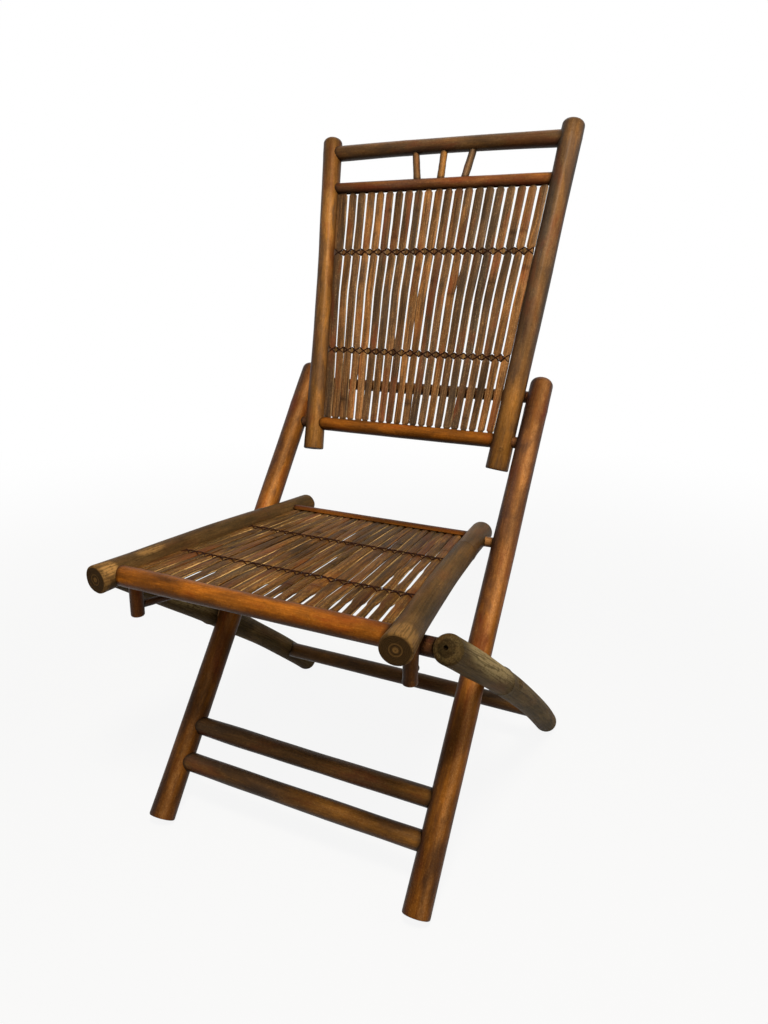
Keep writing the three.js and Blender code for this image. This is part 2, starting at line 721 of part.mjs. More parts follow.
// One row: from behind the first slat, over every slat's face to the far side, round behind the last slat,
// and back over every face. Each slat gives its middle, its half width and its lean at the row, and place()
// turns a distance across, along the slats and above their middle plane into a point.
function lacingCord(name, slats, place) {
  const { radius, halfHeight } = lacing;
  const behind = -(slat.thickness / 2 + radius + clearance);
  const over = -behind;
  const crossing = over + 2 * radius + clearance;
  const edgeOf = ({ middle, half }, side) => middle + side * (half - slat.waistDepth + radius + clearance);
  const gaps = slats.slice(1).map((next, i) => (slats[i].middle + next.middle) / 2);
  const stations = [edgeOf(slats[0], -1), ...gaps, edgeOf(slats[slats.length - 1], 1)];
  const level = (index) => (index % 2 ? -halfHeight : halfHeight);
  const last = slats.length;
  const fan = slats[last - 1].lean / slats[last - 1].middle;
  const at = (across, along, above) => place(across * (1 + fan * along), along, above);
  const first = slats[0].middle;
  const farthest = slats[last - 1].middle;
  const points = [at(first, level(0) / 2, behind), at(stations[0], level(0), behind)];
  stations.forEach((across, i) => points.push(at(across, level(i), over)));
  points.push(at(stations[last], level(last), behind), at(farthest, level(last) / 2, behind));
  points.push(at(farthest, -level(last) / 2, behind), at(stations[last], -level(last), behind));
  stations.map((across, i) => [across, -level(i)]).reverse().forEach(([across, along]) => {
    points.push(at(across, along, crossing));
  });
  points.push(at(stations[0], -level(0), behind), at(first, -level(0) / 2, behind));
  const section = Array.from({ length: lacing.sides }, (_, i) => {
    const angle = (2 * Math.PI * i) / lacing.sides;
    return new THREE.Vector2(radius * Math.cos(angle), radius * Math.sin(angle));
  });
  const extrudePath = new RouteCurve(points);
  const body = new THREE.ExtrudeGeometry(new THREE.Shape(section), { extrudePath, steps: points.length - 1 });
  return namedMesh(name, body, cordFibre);
}

lacing.backShares.forEach((share, row) => {
  const height = THREE.MathUtils.lerp(slatFootHeight, slatTopHeight, share);
  const half = THREE.MathUtils.lerp(backSlat.startWidth, backSlat.endWidth, share) / 2;
  const slats = backSlatFeet.map((foot, i) => ({
    middle: THREE.MathUtils.lerp(foot, backSlatTops[i], share),
    half,
    lean: (backSlatTops[i] - foot) / (slatTopHeight - slatFootHeight),
  }));
  const place = (across, along, above) => onBack(height + along, across, above);
  backGroup.add(lacingCord("back_lacing_" + (row + 1), slats, place));
});

seatRows.forEach((distance, row) => {
  const share = (distance - seatSlatFrom) / (seatSlatTo - seatSlatFrom);
  const half = THREE.MathUtils.lerp(seatSlat.startWidth, seatSlat.endWidth, share) / 2;
  const slats = seatPlaces.map(({ start, end }) => ({
    middle: THREE.MathUtils.lerp(start, end, share),
    half,
    lean: (end - start) / (seatSlatTo - seatSlatFrom),
  }));
  const place = (across, along, above) => onSeat(distance + along, across, seatSlat.rise + above);
  seatGroup.add(lacingCord("seat_lacing_" + (row + 1), slats, place));
});

// The whole chair, tipped back onto its feet, with its origin on the floor under the middle of its outline

const chair = new THREE.Group();
chair.add(frameGroup, legGroup, seatGroup, backGroup);
chair.rotation.x = -stanceTilt;
const outline = new THREE.Box3().setFromObject(chair, true);
const middle = outline.getCenter(new THREE.Vector3());
chair.position.set(-middle.x, -middle.y, -outline.min.z);

export default chair;
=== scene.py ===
import math

import bpy
import numpy as np
from mathutils import Matrix, Vector


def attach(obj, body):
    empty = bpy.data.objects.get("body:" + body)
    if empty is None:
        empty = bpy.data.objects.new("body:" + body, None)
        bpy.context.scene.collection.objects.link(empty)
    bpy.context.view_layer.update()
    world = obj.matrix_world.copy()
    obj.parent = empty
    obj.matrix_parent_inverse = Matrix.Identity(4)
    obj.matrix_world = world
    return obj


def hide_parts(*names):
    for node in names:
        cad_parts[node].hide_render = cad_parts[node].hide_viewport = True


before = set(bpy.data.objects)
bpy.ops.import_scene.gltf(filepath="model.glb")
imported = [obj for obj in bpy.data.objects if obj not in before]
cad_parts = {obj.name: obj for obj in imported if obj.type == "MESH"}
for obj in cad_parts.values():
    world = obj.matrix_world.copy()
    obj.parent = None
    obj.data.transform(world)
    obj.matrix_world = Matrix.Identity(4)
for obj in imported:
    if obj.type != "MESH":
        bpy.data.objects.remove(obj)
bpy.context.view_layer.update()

# Everything below is in millimetres, as if the seat were level, with y = 0 and z = 0 near the feet of the two
# long poles. to_row() tips that back onto the chair's four feet and turns it into the row frame, in metres.
MM = 0.001
STANCE_TILT = math.radians(1.75)
TIP_BACK = np.array([[1.0, 0.0, 0.0],
                     [0.0, math.cos(STANCE_TILT), math.sin(STANCE_TILT)],
                     [0.0, -math.sin(STANCE_TILT), math.cos(STANCE_TILT)]])
ROW_SHIFT = np.array([0.0, -239.42454, 13.98930])
FLOOR_NORMAL = TIP_BACK[2]


def to_row(points):
    return (np.asarray(points, float) @ TIP_BACK.T + ROW_SHIFT) * MM


def above_floor(points):
    """Heights above the floor, in millimetres."""
    return np.asarray(points, float) @ FLOOR_NORMAL + ROW_SHIFT[2]


def unit(vector):
    vector = np.asarray(vector, float)
    return vector / np.linalg.norm(vector)


def lerp(a, b, share):
    return a + (b - a) * share


# Camera, light and floor

CAMERA_AT = (466.74, -679.58, 722.66)
CAMERA_ROWS = (
    (0.90169394, 0.43207721, 0.01604121),
    (0.13624269, -0.24872075, -0.95894521),
    (-0.41034859, 0.86686058, -0.28313735),
)
FOCAL_SHARE = 740 / 1024


def make_camera():
    data = bpy.data.cameras.new("camera")
    data.sensor_width = 36
    data.lens = 36 * FOCAL_SHARE
    data.clip_start = 0.01
    camera = bpy.data.objects.new("camera", data)
    bpy.context.scene.collection.objects.link(camera)
    right, down, forward = (unit(TIP_BACK @ row) for row in CAMERA_ROWS)
    place = Matrix(np.column_stack([right, -down, -forward]).tolist()).to_4x4()
    place.translation = Vector(to_row(CAMERA_AT))
    camera.matrix_world = place
    bpy.context.scene.camera = camera


def area_light(name, azimuth, elevation, distance, size, power, colour=(1, 1, 1)):
    data = bpy.data.lights.new(name, "AREA")
    data.shape = "DISK"
    data.size = size
    data.energy = power
    data.color = colour
    light = bpy.data.objects.new(name, data)
    bpy.context.scene.collection.objects.link(light)
    a, e = math.radians(azimuth), math.radians(elevation)
    away = Vector((math.sin(a) * math.cos(e), -math.cos(a) * math.cos(e), math.sin(e)))
    light.location = away * distance + Vector((0, 0, 0.45))
    light.rotation_mode = "QUATERNION"
    light.rotation_quaternion = (-away).to_track_quat("-Z", "Y")


def background_share(nodes, links):
    """1 for camera, glossy and transmission rays, and 0 for the others."""
    path = nodes.new("ShaderNodeLightPath")
    total = path.outputs["Is Camera Ray"]
    for ray in ("Is Glossy Ray", "Is Transmission Ray"):
        larger = nodes.new("ShaderNodeMath")
        larger.operation = "MAXIMUM"
        links.new(total, larger.inputs[0])
        links.new(path.outputs[ray], larger.inputs[1])
        total = larger.outputs[0]
    return total


def make_world():
    world = bpy.data.worlds.new("studio")
    bpy.context.scene.world = world
    world.use_nodes = True
    nodes, links = world.node_tree.nodes, world.node_tree.links
    nodes.clear()
    soft = nodes.new("ShaderNodeBackground")
    soft.inputs["Color"].default_value = (1.0, 0.96, 0.9, 1)
    soft.inputs["Strength"].default_value = 0.2
    shown = nodes.new("ShaderNodeBackground")
    shown.inputs["Color"].default_value = (1, 1, 1, 1)
    shown.inputs["Strength"].default_value = 1.0
    mix = nodes.new("ShaderNodeMixShader")
    links.new(background_share(nodes, links), mix.inputs[0])
    links.new(soft.outputs[0], mix.inputs[1])
    links.new(shown.outputs[0], mix.inputs[2])
    out = nodes.new("ShaderNodeOutputWorld")
    links.new(mix.outputs[0], out.inputs[0])


def make_floor():
    """A pale floor that keeps the shadow near the chair and runs out into the white background."""
    size = 30.0
    mesh = bpy.data.meshes.new("floor")
    corners = [(-size, -size, 0), (size, -size, 0), (size, size, 0), (-size, size, 0)]
    mesh.from_pydata(corners, [], [(0, 1, 2, 3)])
    floor = bpy.data.objects.new("floor", mesh)
    bpy.context.scene.collection.objects.link(floor)
    material = bpy.data.materials.new("pale_floor")
    material.use_nodes = True
    nodes, links = material.node_tree.nodes, material.node_tree.links
    nodes.clear()
    matt = nodes.new("ShaderNodeBsdfDiffuse")
    matt.inputs["Color"].default_value = (0.46, 0.45, 0.43, 1)
    white = nodes.new("ShaderNodeEmission")
    white.inputs["Color"].default_value = (1, 1, 1, 1)
    white.inputs["Strength"].default_value = 1.0
    place = nodes.new("ShaderNodeTexCoord")
    far = nodes.new("ShaderNodeVectorMath")
    far.operation = "LENGTH"
    links.new(place.outputs["Object"], far.inputs[0])
    near_to_far = nodes.new("ShaderNodeMapRange")
    near_to_far.interpolation_type = "SMOOTHSTEP"
    for key, number in (("From Min", 0.55), ("From Max", 2.6), ("To Min", 0.9), ("To Max", 1.0)):
        near_to_far.inputs[key].default_value = number
    links.new(far.outputs["Value"], near_to_far.inputs["Value"])
    share = nodes.new("ShaderNodeMath")
    share.operation = "MULTIPLY"
    links.new(background_share(nodes, links), share.inputs[0])
    links.new(near_to_far.outputs["Result"], share.inputs[1])
    mix = nodes.new("ShaderNodeMixShader")
    links.new(share.outputs[0], mix.inputs[0])
    links.new(matt.outputs[0], mix.inputs[1])
    links.new(white.outputs[0], mix.inputs[2])
    out = nodes.new("ShaderNodeOutputMaterial")
    links.new(mix.outputs[0], out.inputs[0])
    mesh.materials.append(material)
    floor.location.z = -0.0004


make_camera()
make_world()
make_floor()
area_light("key", 30, 54, 1.5, 0.36, 28, (1.0, 0.95, 0.86))
area_light("front_left", -42, 36, 2.6, 1.3, 3, (1.0, 0.96, 0.9))
area_light("cool_right", 100, 26, 2.6, 1.4, 10, (0.97, 0.96, 1.0))
area_light("rear", 200, 48, 2.8, 1.8, 7)
bpy.context.scene.view_settings.view_transform = "Standard"


# Places of the CAD model

POLE_LEAN = math.radians(35.95)
BACK_LEAN = math.radians(16.38)
POLE_X, POLE_LENGTH = 198.7, 744.0
POLE_RADII = (17.9, 16.6)
POLE_BELOW = 6.5
LEG_PIVOT, SEAT_PIVOT, BACK_PIVOT = 294.6, 479.2, 636.4


def on_pole(place, x):
    return np.array([x, place * math.sin(POLE_LEAN), place * math.cos(POLE_LEAN)])


def pole_radius(place):
    return lerp(POLE_RADII[0], POLE_RADII[1], place / POLE_LENGTH)


SEAT_FRONT_REACH, SEAT_REAR_REACH = 362.2, 45.1
SEAT_LENGTH = SEAT_FRONT_REACH + SEAT_REAR_REACH
SEAT_Z = on_pole(SEAT_PIVOT, 0)[2]
SEAT_FRONT_Y = on_pole(SEAT_PIVOT, 0)[1] - SEAT_FRONT_REACH
SEAT_RAIL_RADIUS = 17.0


def seat_rail_x(distance):
    return lerp(198.1, 152.2, distance / SEAT_LENGTH)


def on_seat(distance, x, rise=0.0):
    return np.array([x, SEAT_FRONT_Y + distance, SEAT_Z + rise])


BACK_REACH, BACK_FOOT = 470.8, 43.0
POST_RADII = (16.5, 15.8)


def post_x(height):
    return lerp(161.1, 199.5, height / BACK_REACH)


def post_radius(height):
    return lerp(POST_RADII[0], POST_RADII[1], (height + BACK_FOOT) / (BACK_REACH + BACK_FOOT))


def on_back(height, x, front=0.0):
    y = height * math.sin(BACK_LEAN) - front * math.cos(BACK_LEAN)
    z = height * math.cos(BACK_LEAN) + front * math.sin(BACK_LEAN)
    return on_pole(BACK_PIVOT, x) + np.array([0.0, y, z])


# Meshes

# The side that gets painted light on every culm; the sides turned away from it get painted shade.
LIT_SIDE = unit([0.55, -0.66, 0.5])


def make_piece(name, verts, faces, attributes, material, body, nodes=(), sharp=38):
    """A mesh object from millimetre points, with per-point attributes for its material."""
    mesh = bpy.data.meshes.new(name)
    mesh.from_pydata(to_row(verts).tolist(), [], faces)
    for key, values in attributes.items():
        values = np.asarray(values, np.float32)
        kind = "FLOAT" if values.ndim == 1 else "FLOAT_VECTOR"
        attribute = mesh.attributes.new(key, kind, "POINT")
        attribute.data.foreach_set("value" if kind == "FLOAT" else "vector", values.ravel())
    mesh.materials.append(material)
    mesh.shade_smooth()
    mesh.set_sharp_from_angle(angle=math.radians(sharp))
    mesh.update()
    piece = bpy.data.objects.new(name, mesh)
    bpy.context.scene.collection.objects.link(piece)
    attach(piece, body)
    if nodes:
        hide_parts(*nodes)


class Sheet:
    """Gathers points, faces and attributes of one piece."""

    def __init__(self):
        self.verts, self.faces, self.attributes, self.count = [], [], {}, 0

    def add(self, verts, faces, **attributes):
        """Adds one closed form. Every form of a sheet has the same attributes."""
        self.verts.append(np.asarray(verts, float))
        self.faces += [tuple(i + self.count for i in face) for face in faces]
        for key, values in attributes.items():
            values = values if np.ndim(values) else np.full(len(verts), float(values))
            self.attributes.setdefault(key, []).append(values)
        self.count += len(verts)

    def make(self, name, material, body, slot, nodes=(), sharp=50):
        attributes = {key: np.concatenate(parts) for key, parts in self.attributes.items()}
        verts = np.concatenate(self.verts)
        make_piece(name, verts, self.faces, attributes, material, body, nodes, sharp)


def ring_faces(rings, sides, first_centre, last_centre):
    """Quads between rings of points, and a fan from each end's centre point."""
    faces = []
    for i in range(rings - 1):
        for j in range(sides):
            k = (j + 1) % sides
            faces.append((i * sides + j, i * sides + k, (i + 1) * sides + k, (i + 1) * sides + j))
    faces += [(first_centre, (j + 1) % sides, j) for j in range(sides)]
    base = (rings - 1) * sides
    return faces + [(base + j, base + (j + 1) % sides, last_centre) for j in range(sides)]


class Path:
    """A smooth line with a frame that doesn't twist. hint says roughly where theta = 0 points."""

    def __init__(self, points, hint):
        self.points = np.asarray(points, float)
        steps = np.linalg.norm(np.diff(self.points, axis=0), axis=1)
        self.along = np.concatenate([[0], np.cumsum(steps)])
        self.length = self.along[-1]
        tangents = np.gradient(self.points, self.along, axis=0)
        self.tangents = tangents / np.linalg.norm(tangents, axis=1)[:, None]
        first = np.asarray(hint, float)
        sideways = []
        for tangent in self.tangents:
            first = unit(first - tangent * (first @ tangent))
            sideways.append(first)
        self.first = np.array(sideways)

    def at(self, place):
        """Centre, tangent and the two cross directions, also past the ends."""
        place = np.asarray(place, float)
        inside = np.clip(place, 0, self.length)

        def read(table):
            return np.stack([np.interp(inside, self.along, table[:, k]) for k in range(3)], -1)

        tangent = read(self.tangents)
        tangent /= np.linalg.norm(tangent, axis=-1, keepdims=True)
        centre = read(self.points) + tangent * (place - inside)[..., None]
        first = read(self.first)
        first -= tangent * np.sum(first * tangent, -1, keepdims=True)
        first /= np.linalg.norm(first, axis=-1, keepdims=True)
        return centre, tangent, first, np.cross(tangent, first)


def line(a, b, hint, bow=(0, 0, 0), steps=24):
    """A nearly straight path: bow is how far its middle stands off the line."""
    share = np.linspace(0, 1, steps + 1)[:, None]
    points = np.asarray(a) * (1 - share) + np.asarray(b) * share
    points = points + np.asarray(bow, float) * np.sin(np.pi * share)
    return Path(points, hint)


def smooth_noise(rng, waves, width):
    """A sum of a few slow sines over the unit interval, for the uneven growth of a culm."""
    phases = rng.uniform(0, 2 * np.pi, waves)
    strengths = rng.normal(0, width, waves) / np.arange(1, waves + 1)

    def value(share):
        return sum(a * np.sin(2 * np.pi * (k + 1) * share + p)
                   for k, (a, p) in enumerate(zip(strengths, phases)))

    return value


# An end of a culm is a dict: kind "flat", "dome", or "cope", which sits round another culm.

def flat_end(bevel, pith, depth, rings=True, golden=0.0):
    return {"kind": "flat", "bevel": bevel, "pith": pith, "depth": depth, "rings": rings, "golden": golden}


def dome_end(rounding, crown, pith=0.0, dull=0.0):
    return {"kind": "dome", "bevel": rounding, "crown": crown, "pith": pith, "dull": dull}


def cope_end(point, direction, radius, gap=0.12):
    return {"kind": "cope", "point": np.asarray(point, float), "direction": unit(direction),
            "radius": radius + gap}


def reach(end, points, direction):
    """How far each point is from the culm that a cope sits round, along a direction."""
    axis = end["direction"]
    off = points - end["point"]
    off = off - (off @ axis)[:, None] * axis
    way = direction - (direction @ axis)[:, None] * axis
    a = np.sum(way * way, 1)
    b = 2 * np.sum(off * way, 1)
    c = np.sum(off * off, 1) - end["radius"] ** 2
    return (-b - np.sqrt(np.maximum(b * b - 4 * a * c, 0))) / (2 * a)


# The rings of a sawn face, from its rim inwards: their scale, and how deep they are sunk
GROWTH_RINGS = [(1.0, 0.0), (0.93, 0.05), (0.8, 0.1), (0.62, 0.16), (0.5, 0.16), (0.46, 0.0), (0.41, 0.0),
                (0.37, 0.24), (0.32, 0.24), (0.27, 0.08), (0.23, 0.08), (0.19, 0.2), (0.12, 0.2)]
PLAIN_FACE = [(1.0, 0.0), (0.9, 0.03), (0.6, 0.05)]
DOME_SCALES = (1.0, 0.85, 0.65, 0.42, 0.2)
HEART = 0.08


def face_steps(spec, rim):
    """The rings of an end face, with a pith hole if it has one: their scale, and how deep they are sunk."""
    hole = spec["pith"] / rim
    if spec["kind"] == "dome":
        steps = [(scale, -spec["crown"] * (1 - scale ** 2)) for scale in DOME_SCALES]
        if not hole:
            return steps
        steps = [step for step in steps if step[0] > hole * 1.3]
        top = steps[-1][1]
        return steps + [(hole * 1.2, top), (hole, top + 0.6), (hole * 0.9, top + 4.0)]
    steps = GROWTH_RINGS if spec["rings"] else PLAIN_FACE
    if not hole:
        return steps + [(HEART, steps[-1][1])]
    steps = [step for step in steps if step[0] > hole * 1.5]
    sink, depth = steps[-1][1], spec["depth"]
    return steps + [(hole * 1.25, sink), (hole, sink + 0.3), (hole * 0.93, depth * 0.6), (hole * 0.85, depth)]


SLOT_LIP = 0.35


def round_section(sides, slot, radius):
    """Angles round a culm, and how far each point is set in. slot is (angle, offset, half width, depth)."""
    if slot is None:
        return np.arange(sides) * 2 * np.pi / sides, np.zeros(sides)
    angle, offset, half, depth = slot
    floor_u = math.sqrt(radius ** 2 - offset ** 2) - depth
    high, low = offset + half, offset - half

    def rim(v):
        return math.sqrt(radius ** 2 - v ** 2)

    outline = [(rim(high + SLOT_LIP), high + SLOT_LIP), (rim(high) - SLOT_LIP, high), (floor_u, high),
               (floor_u, offset), (floor_u, low), (rim(low) - SLOT_LIP, low), (rim(low - SLOT_LIP), low - SLOT_LIP)]
    polar = [(math.atan2(v, u), math.hypot(u, v)) for u, v in outline][::-1]
    arc = np.linspace(polar[-1][0], polar[0][0] + 2 * np.pi, sides)[1:-1]
    thetas = np.concatenate([arc, [t for t, _ in polar]])
    insets = np.concatenate([np.zeros(len(arc)), [radius - r for _, r in polar]])
    return thetas + angle, insets


def thinned(places, least):
    """Sorted places without those that lie too close behind the one before."""
    kept = [places[0]]
    for place in places[1:]:
        if place - kept[-1] > least:
            kept.append(place)
    return kept


def node_wave(where, theta):
    """How far a node's line wanders along the culm, round its girth."""
    return 1.3 * np.sin(theta + where) + 0.7 * np.sin(2 * theta + 2 * where)


def angle_from(theta, angle):
    return np.angle(np.exp(1j * (theta - angle)))


# Where the extra rings at a node lie, how the rings keep clear of each other and of a cope, how far back from a
# cope a culm is fitted to it, and how far dirt reaches out of a joint
NODE_RINGS = np.array([-9, -6, -4, -3, -2.2, -1.5, -0.8, 0, 0.8, 1.5, 2.2, 3, 3.8, 5, 7, 10])
LEAST_STEP, END_ROOM, COPE_ROOM, BEVEL_ROOM = 0.45, 0.5, 1.5, 1.0
FIT_LENGTH, FIT_SHARE = 26.0, 0.35
JOINT_DIRT = 1.6
COPE_SCALES = (1.0, 0.93, 0.72, 0.4)
FAR_BACK = 60


class Stem:
    """A culm's surface: its path, and its girth with lobes, nodes and scars. A ring is (points, grain)."""

    def __init__(self, path, radii, nodes, scars, sides, seed, oval, uneven, groove):
        rng = np.random.RandomState(seed)
        self.path, self.nodes, self.scars, self.oval = path, nodes, scars, oval
        self.swell = smooth_noise(rng, 4, uneven)
        self.turn = rng.uniform(0, 2 * np.pi)
        self.lobes = [(k, rng.normal(0, uneven * 0.3), rng.uniform(0, 2 * np.pi), smooth_noise(rng, 3, 0.5))
                      for k in (2, 3, 5)]
        self.table = np.array(radii if np.ndim(radii[0]) else [(0, radii[0]), (path.length, radii[1])], float)
        self.girth = self.table[:, 1].mean()
        self.thetas, self.insets = round_section(sides, groove, self.girth)
        self.blend = min(FIT_LENGTH, path.length * FIT_SHARE)

    def scar_distance(self, place, theta, scar):
        """Distance from a scar's middle, as a share of its size."""
        where, angle, size = scar
        return np.hypot(place - where, self.girth * angle_from(theta, angle)) / size

    def radius_at(self, place, theta):
        share = np.clip(place / self.path.length, 0, 1)
        radius = np.interp(place, self.table[:, 0], self.table[:, 1]) + self.swell(share)
        radius = radius * (1 + self.oval * np.cos(2 * (theta - self.turn)))
        for k, strength, phase, drift in self.lobes:
            radius = radius + strength * np.cos(k * theta + phase + drift(share) * 2)
        for where, strength in self.nodes:
            off = place - where - node_wave(where, theta)
            radius = radius + strength * (0.6 * np.exp(-(off / 8.0) ** 2) + 0.3 * np.exp(-(off / 1.5) ** 2)
                                          - 0.25 * np.exp(-((off - 2.6) / 1.1) ** 2))
        for scar in self.scars:
            off = self.scar_distance(place, theta, scar)
            radius = radius + scar[2] * (0.16 * np.exp(-off ** 2 * 0.8) + 0.09 * np.exp(-((off - 1.0) / 0.28) ** 2)
                                         - 0.2 * np.exp(-(off / 0.42) ** 2))
        return radius

    def ring(self, place, scale=1.0, inset=0.0):
        """A ring at one place, or with a place for each point."""
        places = np.full(len(self.thetas), place)
        centre, _, first, second = self.path.at(places)
        radius = np.maximum((self.radius_at(places, self.thetas) - self.insets - inset) * scale, 0.0)
        across, up = np.cos(self.thetas), np.sin(self.thetas)
        points = centre + radius[:, None] * (across[:, None] * first + up[:, None] * second)
        return points, np.stack([radius * across, radius * up, places], 1)

    def fitted_cap(self, spec, base, outward):
        """A cope from its rim inwards, and how far each point of the rim moved out."""
        _, tangent, _, _ = self.path.at(np.full(len(self.thetas), base))
        direction = tangent * outward
        cap, rim_far = [], None
        for scale in COPE_SCALES:
            points, grain = self.ring(base, scale)
            far = reach(spec, points - direction * FAR_BACK, direction) - FAR_BACK
            grain[:, 2] += outward * far
            rim_far = far if rim_far is None else rim_far
            cut, dirt = (0.6, 1.0) if scale == 1.0 else (1.0, 0.0)
            cap.append((points + direction * far[:, None], grain, cut, dirt, 0.0))
        return cap, rim_far

    def sawn_cap(self, spec, base, outward):
        """A sawn or rounded end: its bevel, then the face's rings, drawn in and sunk in the axis."""
        size, flat = spec["bevel"], spec["kind"] == "flat"
        quarter = np.linspace(0, np.pi / 2, 4 if flat else 10)
        bevel = [(base - outward * (size - size * math.sin(q)), size * (1 - math.cos(q))) for q in quarter]
        cap = [(*self.ring(place, 1.0, inset), 0.35, 0.0, 0.0) for place, inset in bevel[:-1]]
        place, inset = bevel[-1]
        rim, rim_grain = self.ring(place, 1.0, inset)
        centre, tangent, _, _ = self.path.at(np.array([place]))
        for scale, sink in face_steps(spec, np.linalg.norm(rim - rim.mean(0), axis=1).mean()):
            points = centre[0] + (rim - centre[0]) * scale + tangent[0] * -outward * sink
            grain = rim_grain * [scale, scale, 1]
            grain[:, 2] += -outward * sink
            # Painted shade in the pith hole: the deeper a ring of the face is sunk, the darker it is painted.
            dirt = 1.0 if sink > 1.2 else 0.4 if sink > 0.3 else spec.get("dull", 0.0)
            golden = spec.get("golden", 0.0) * (1.0 if scale < 0.2 else 0.6 if 0.4 < scale < 0.47 else 0.08)
            cap.append((points, grain, 1.0 if flat else 0.3, dirt, golden))
        return cap, None

    def cap(self, spec, base, outward):
        make = self.fitted_cap if spec["kind"] == "cope" else self.sawn_cap
        return make(spec, base, outward)

    def room(self, spec):
        """How far from an end the first of the rings between the ends may lie."""
        return min(self.blend, COPE_ROOM) if spec["kind"] == "cope" else spec["bevel"] + BEVEL_ROOM

    def places(self, step, worn, start, end):
        """Where the rings between the ends lie: evenly, and closer at nodes, scars and worn spots."""
        length = self.path.length
        places = list(np.linspace(0, length, max(3, int(length / step) + 1)))
        for where, _ in self.nodes:
            places += list(where + NODE_RINGS)
        for where, _, size in self.scars:
            places += list(where + size * np.linspace(-2, 2, 15))
        for where, _, long, _, _ in worn:
            places += list(where + long * np.linspace(-1.3, 1.3, 17))
        places = thinned(sorted(p for p in places if END_ROOM < p < length - END_ROOM), LEAST_STEP)
        return [p for p in places if p > self.room(start) and p < length - self.room(end)]

    def rings(self, step, worn, start, end):
        """All rings from start to end, as (points, grain, cut, dirt, bare)."""
        length, blend = self.path.length, self.blend
        start_cap, start_far = self.cap(start, 0.0, -1.0)
        end_cap, end_far = self.cap(end, length, 1.0)
        rings = start_cap[::-1]
        for place in self.places(step, worn, start, end):
            shifted, dirt = place, np.zeros(len(self.thetas))
            if start_far is not None and place < blend:
                low = -start_far
                shifted = low + (place / blend) * (blend - low)
                dirt = np.exp(-(shifted - low) / JOINT_DIRT)
            if end_far is not None and place > length - blend:
                high = length + end_far
                shifted = high - (length - place) / blend * (high - (length - blend))
                dirt = np.maximum(dirt, np.exp(-(high - shifted) / JOINT_DIRT))
            rings.append((*self.ring(shifted), 0.0, dirt, 0.0))
        return rings + end_cap


def along(table, place):
    """A value that may change along the culm: one number, or a table of (place, value)."""
    return np.interp(place, *zip(*table)) if np.ndim(table) else np.full(len(place), table)


def culm(name, path, radii, material, body, slot, node, start, end, nodes=(), scars=(), worn=(), sides=44, step=7.0,
         seed=1, oval=0.012, uneven=0.25, groove=None, tone=0.5, shade=1.0, grounded=False, rub=(0.5, 1.7)):
    """A stem of bamboo in place of a CAD node. nodes are (place, strength), scars are (place, angle, size) and worn
    spots are (place, angle, length, spread, amount)."""
    stem = Stem(path, radii, nodes, scars, sides, seed, oval, uneven, groove)
    rings = stem.rings(step, worn, start, end)
    sides = len(stem.thetas)
    verts, grain = (np.concatenate([ring[k] for ring in rings]) for k in (0, 1))
    cut, dirt, bare = (np.concatenate([np.full(sides, ring[k]) for ring in rings]) for k in (2, 3, 4))
    if grounded:
        verts += np.maximum(-above_floor(verts), 0.0)[:, None] * FLOOR_NORMAL
    verts = np.concatenate([verts, [verts[:sides].mean(0), verts[-sides:].mean(0)]])
    grain = np.concatenate([grain, [[0, 0, grain[0, 2]], [0, 0, grain[-1, 2]]]])
    cut, dirt, bare = np.append(cut, [1.0, 1.0]), np.append(dirt, dirt[[0, -1]]), np.append(bare, [0.0, 0.0])
    place, theta = grain[:, 2], np.arctan2(grain[:, 1], grain[:, 0])
    band = np.zeros(len(verts))
    for where, strength in nodes:
        off = place - where - node_wave(where, theta)
        band = np.maximum(band, min(1, 0.55 * strength) * np.exp(-(off / 2.6) ** 2))
    for scar in scars:
        band = np.maximum(band, 0.8 * np.exp(-((stem.scar_distance(place, theta, scar) - 0.75) / 0.3) ** 2))
    for where, angle, long, spread, amount in worn:
        off = np.hypot((place - where) / long, angle_from(theta, angle) / spread)
        bare = np.maximum(bare, amount * np.clip(1.6 - 1.1 * off ** 2, 0, 1) * (cut < 0.9))
    # Painted light and shade round the culm: each point gets a share of painted light, most on the lit side, and
    # its colour is multiplied by a factor that runs from the range's first number on the side turned away to its
    # second on the lit side.
    worn_and_lit = np.where(cut < 0.9, painted_light_share(path, place, verts), 0.35)
    attributes = {"grain": grain * MM, "cut": cut, "dirt": dirt, "band": band, "bare": bare,
                  "seed": np.full(len(verts), float(seed % 97)), "tone": along(tone, place), "rub": worn_and_lit,
                  "shade": along(shade, place) * lerp(rub[0], rub[1], worn_and_lit)}
    faces = ring_faces(len(rings), sides, len(verts) - 2, len(verts) - 1)
    make_piece(name, verts, faces, attributes, material, body, [node])


def painted_light_share(path, place, verts):
    """How much painted light a point gets: most on faces turned up, to the front and to the right, and none on
    faces turned away, which get painted shade.
    """
    centre, tangent, _, _ = path.at(place)
    out = verts - centre
    out -= tangent * np.sum(out * tangent, -1, keepdims=True)
    size = np.linalg.norm(out, axis=-1)
    facing = out @ LIT_SIDE / np.maximum(size, 1e-6)
    return np.where(size > 1.0, np.clip(0.5 + 0.5 * facing, 0, 1) ** 4, 0.4)


# Materials

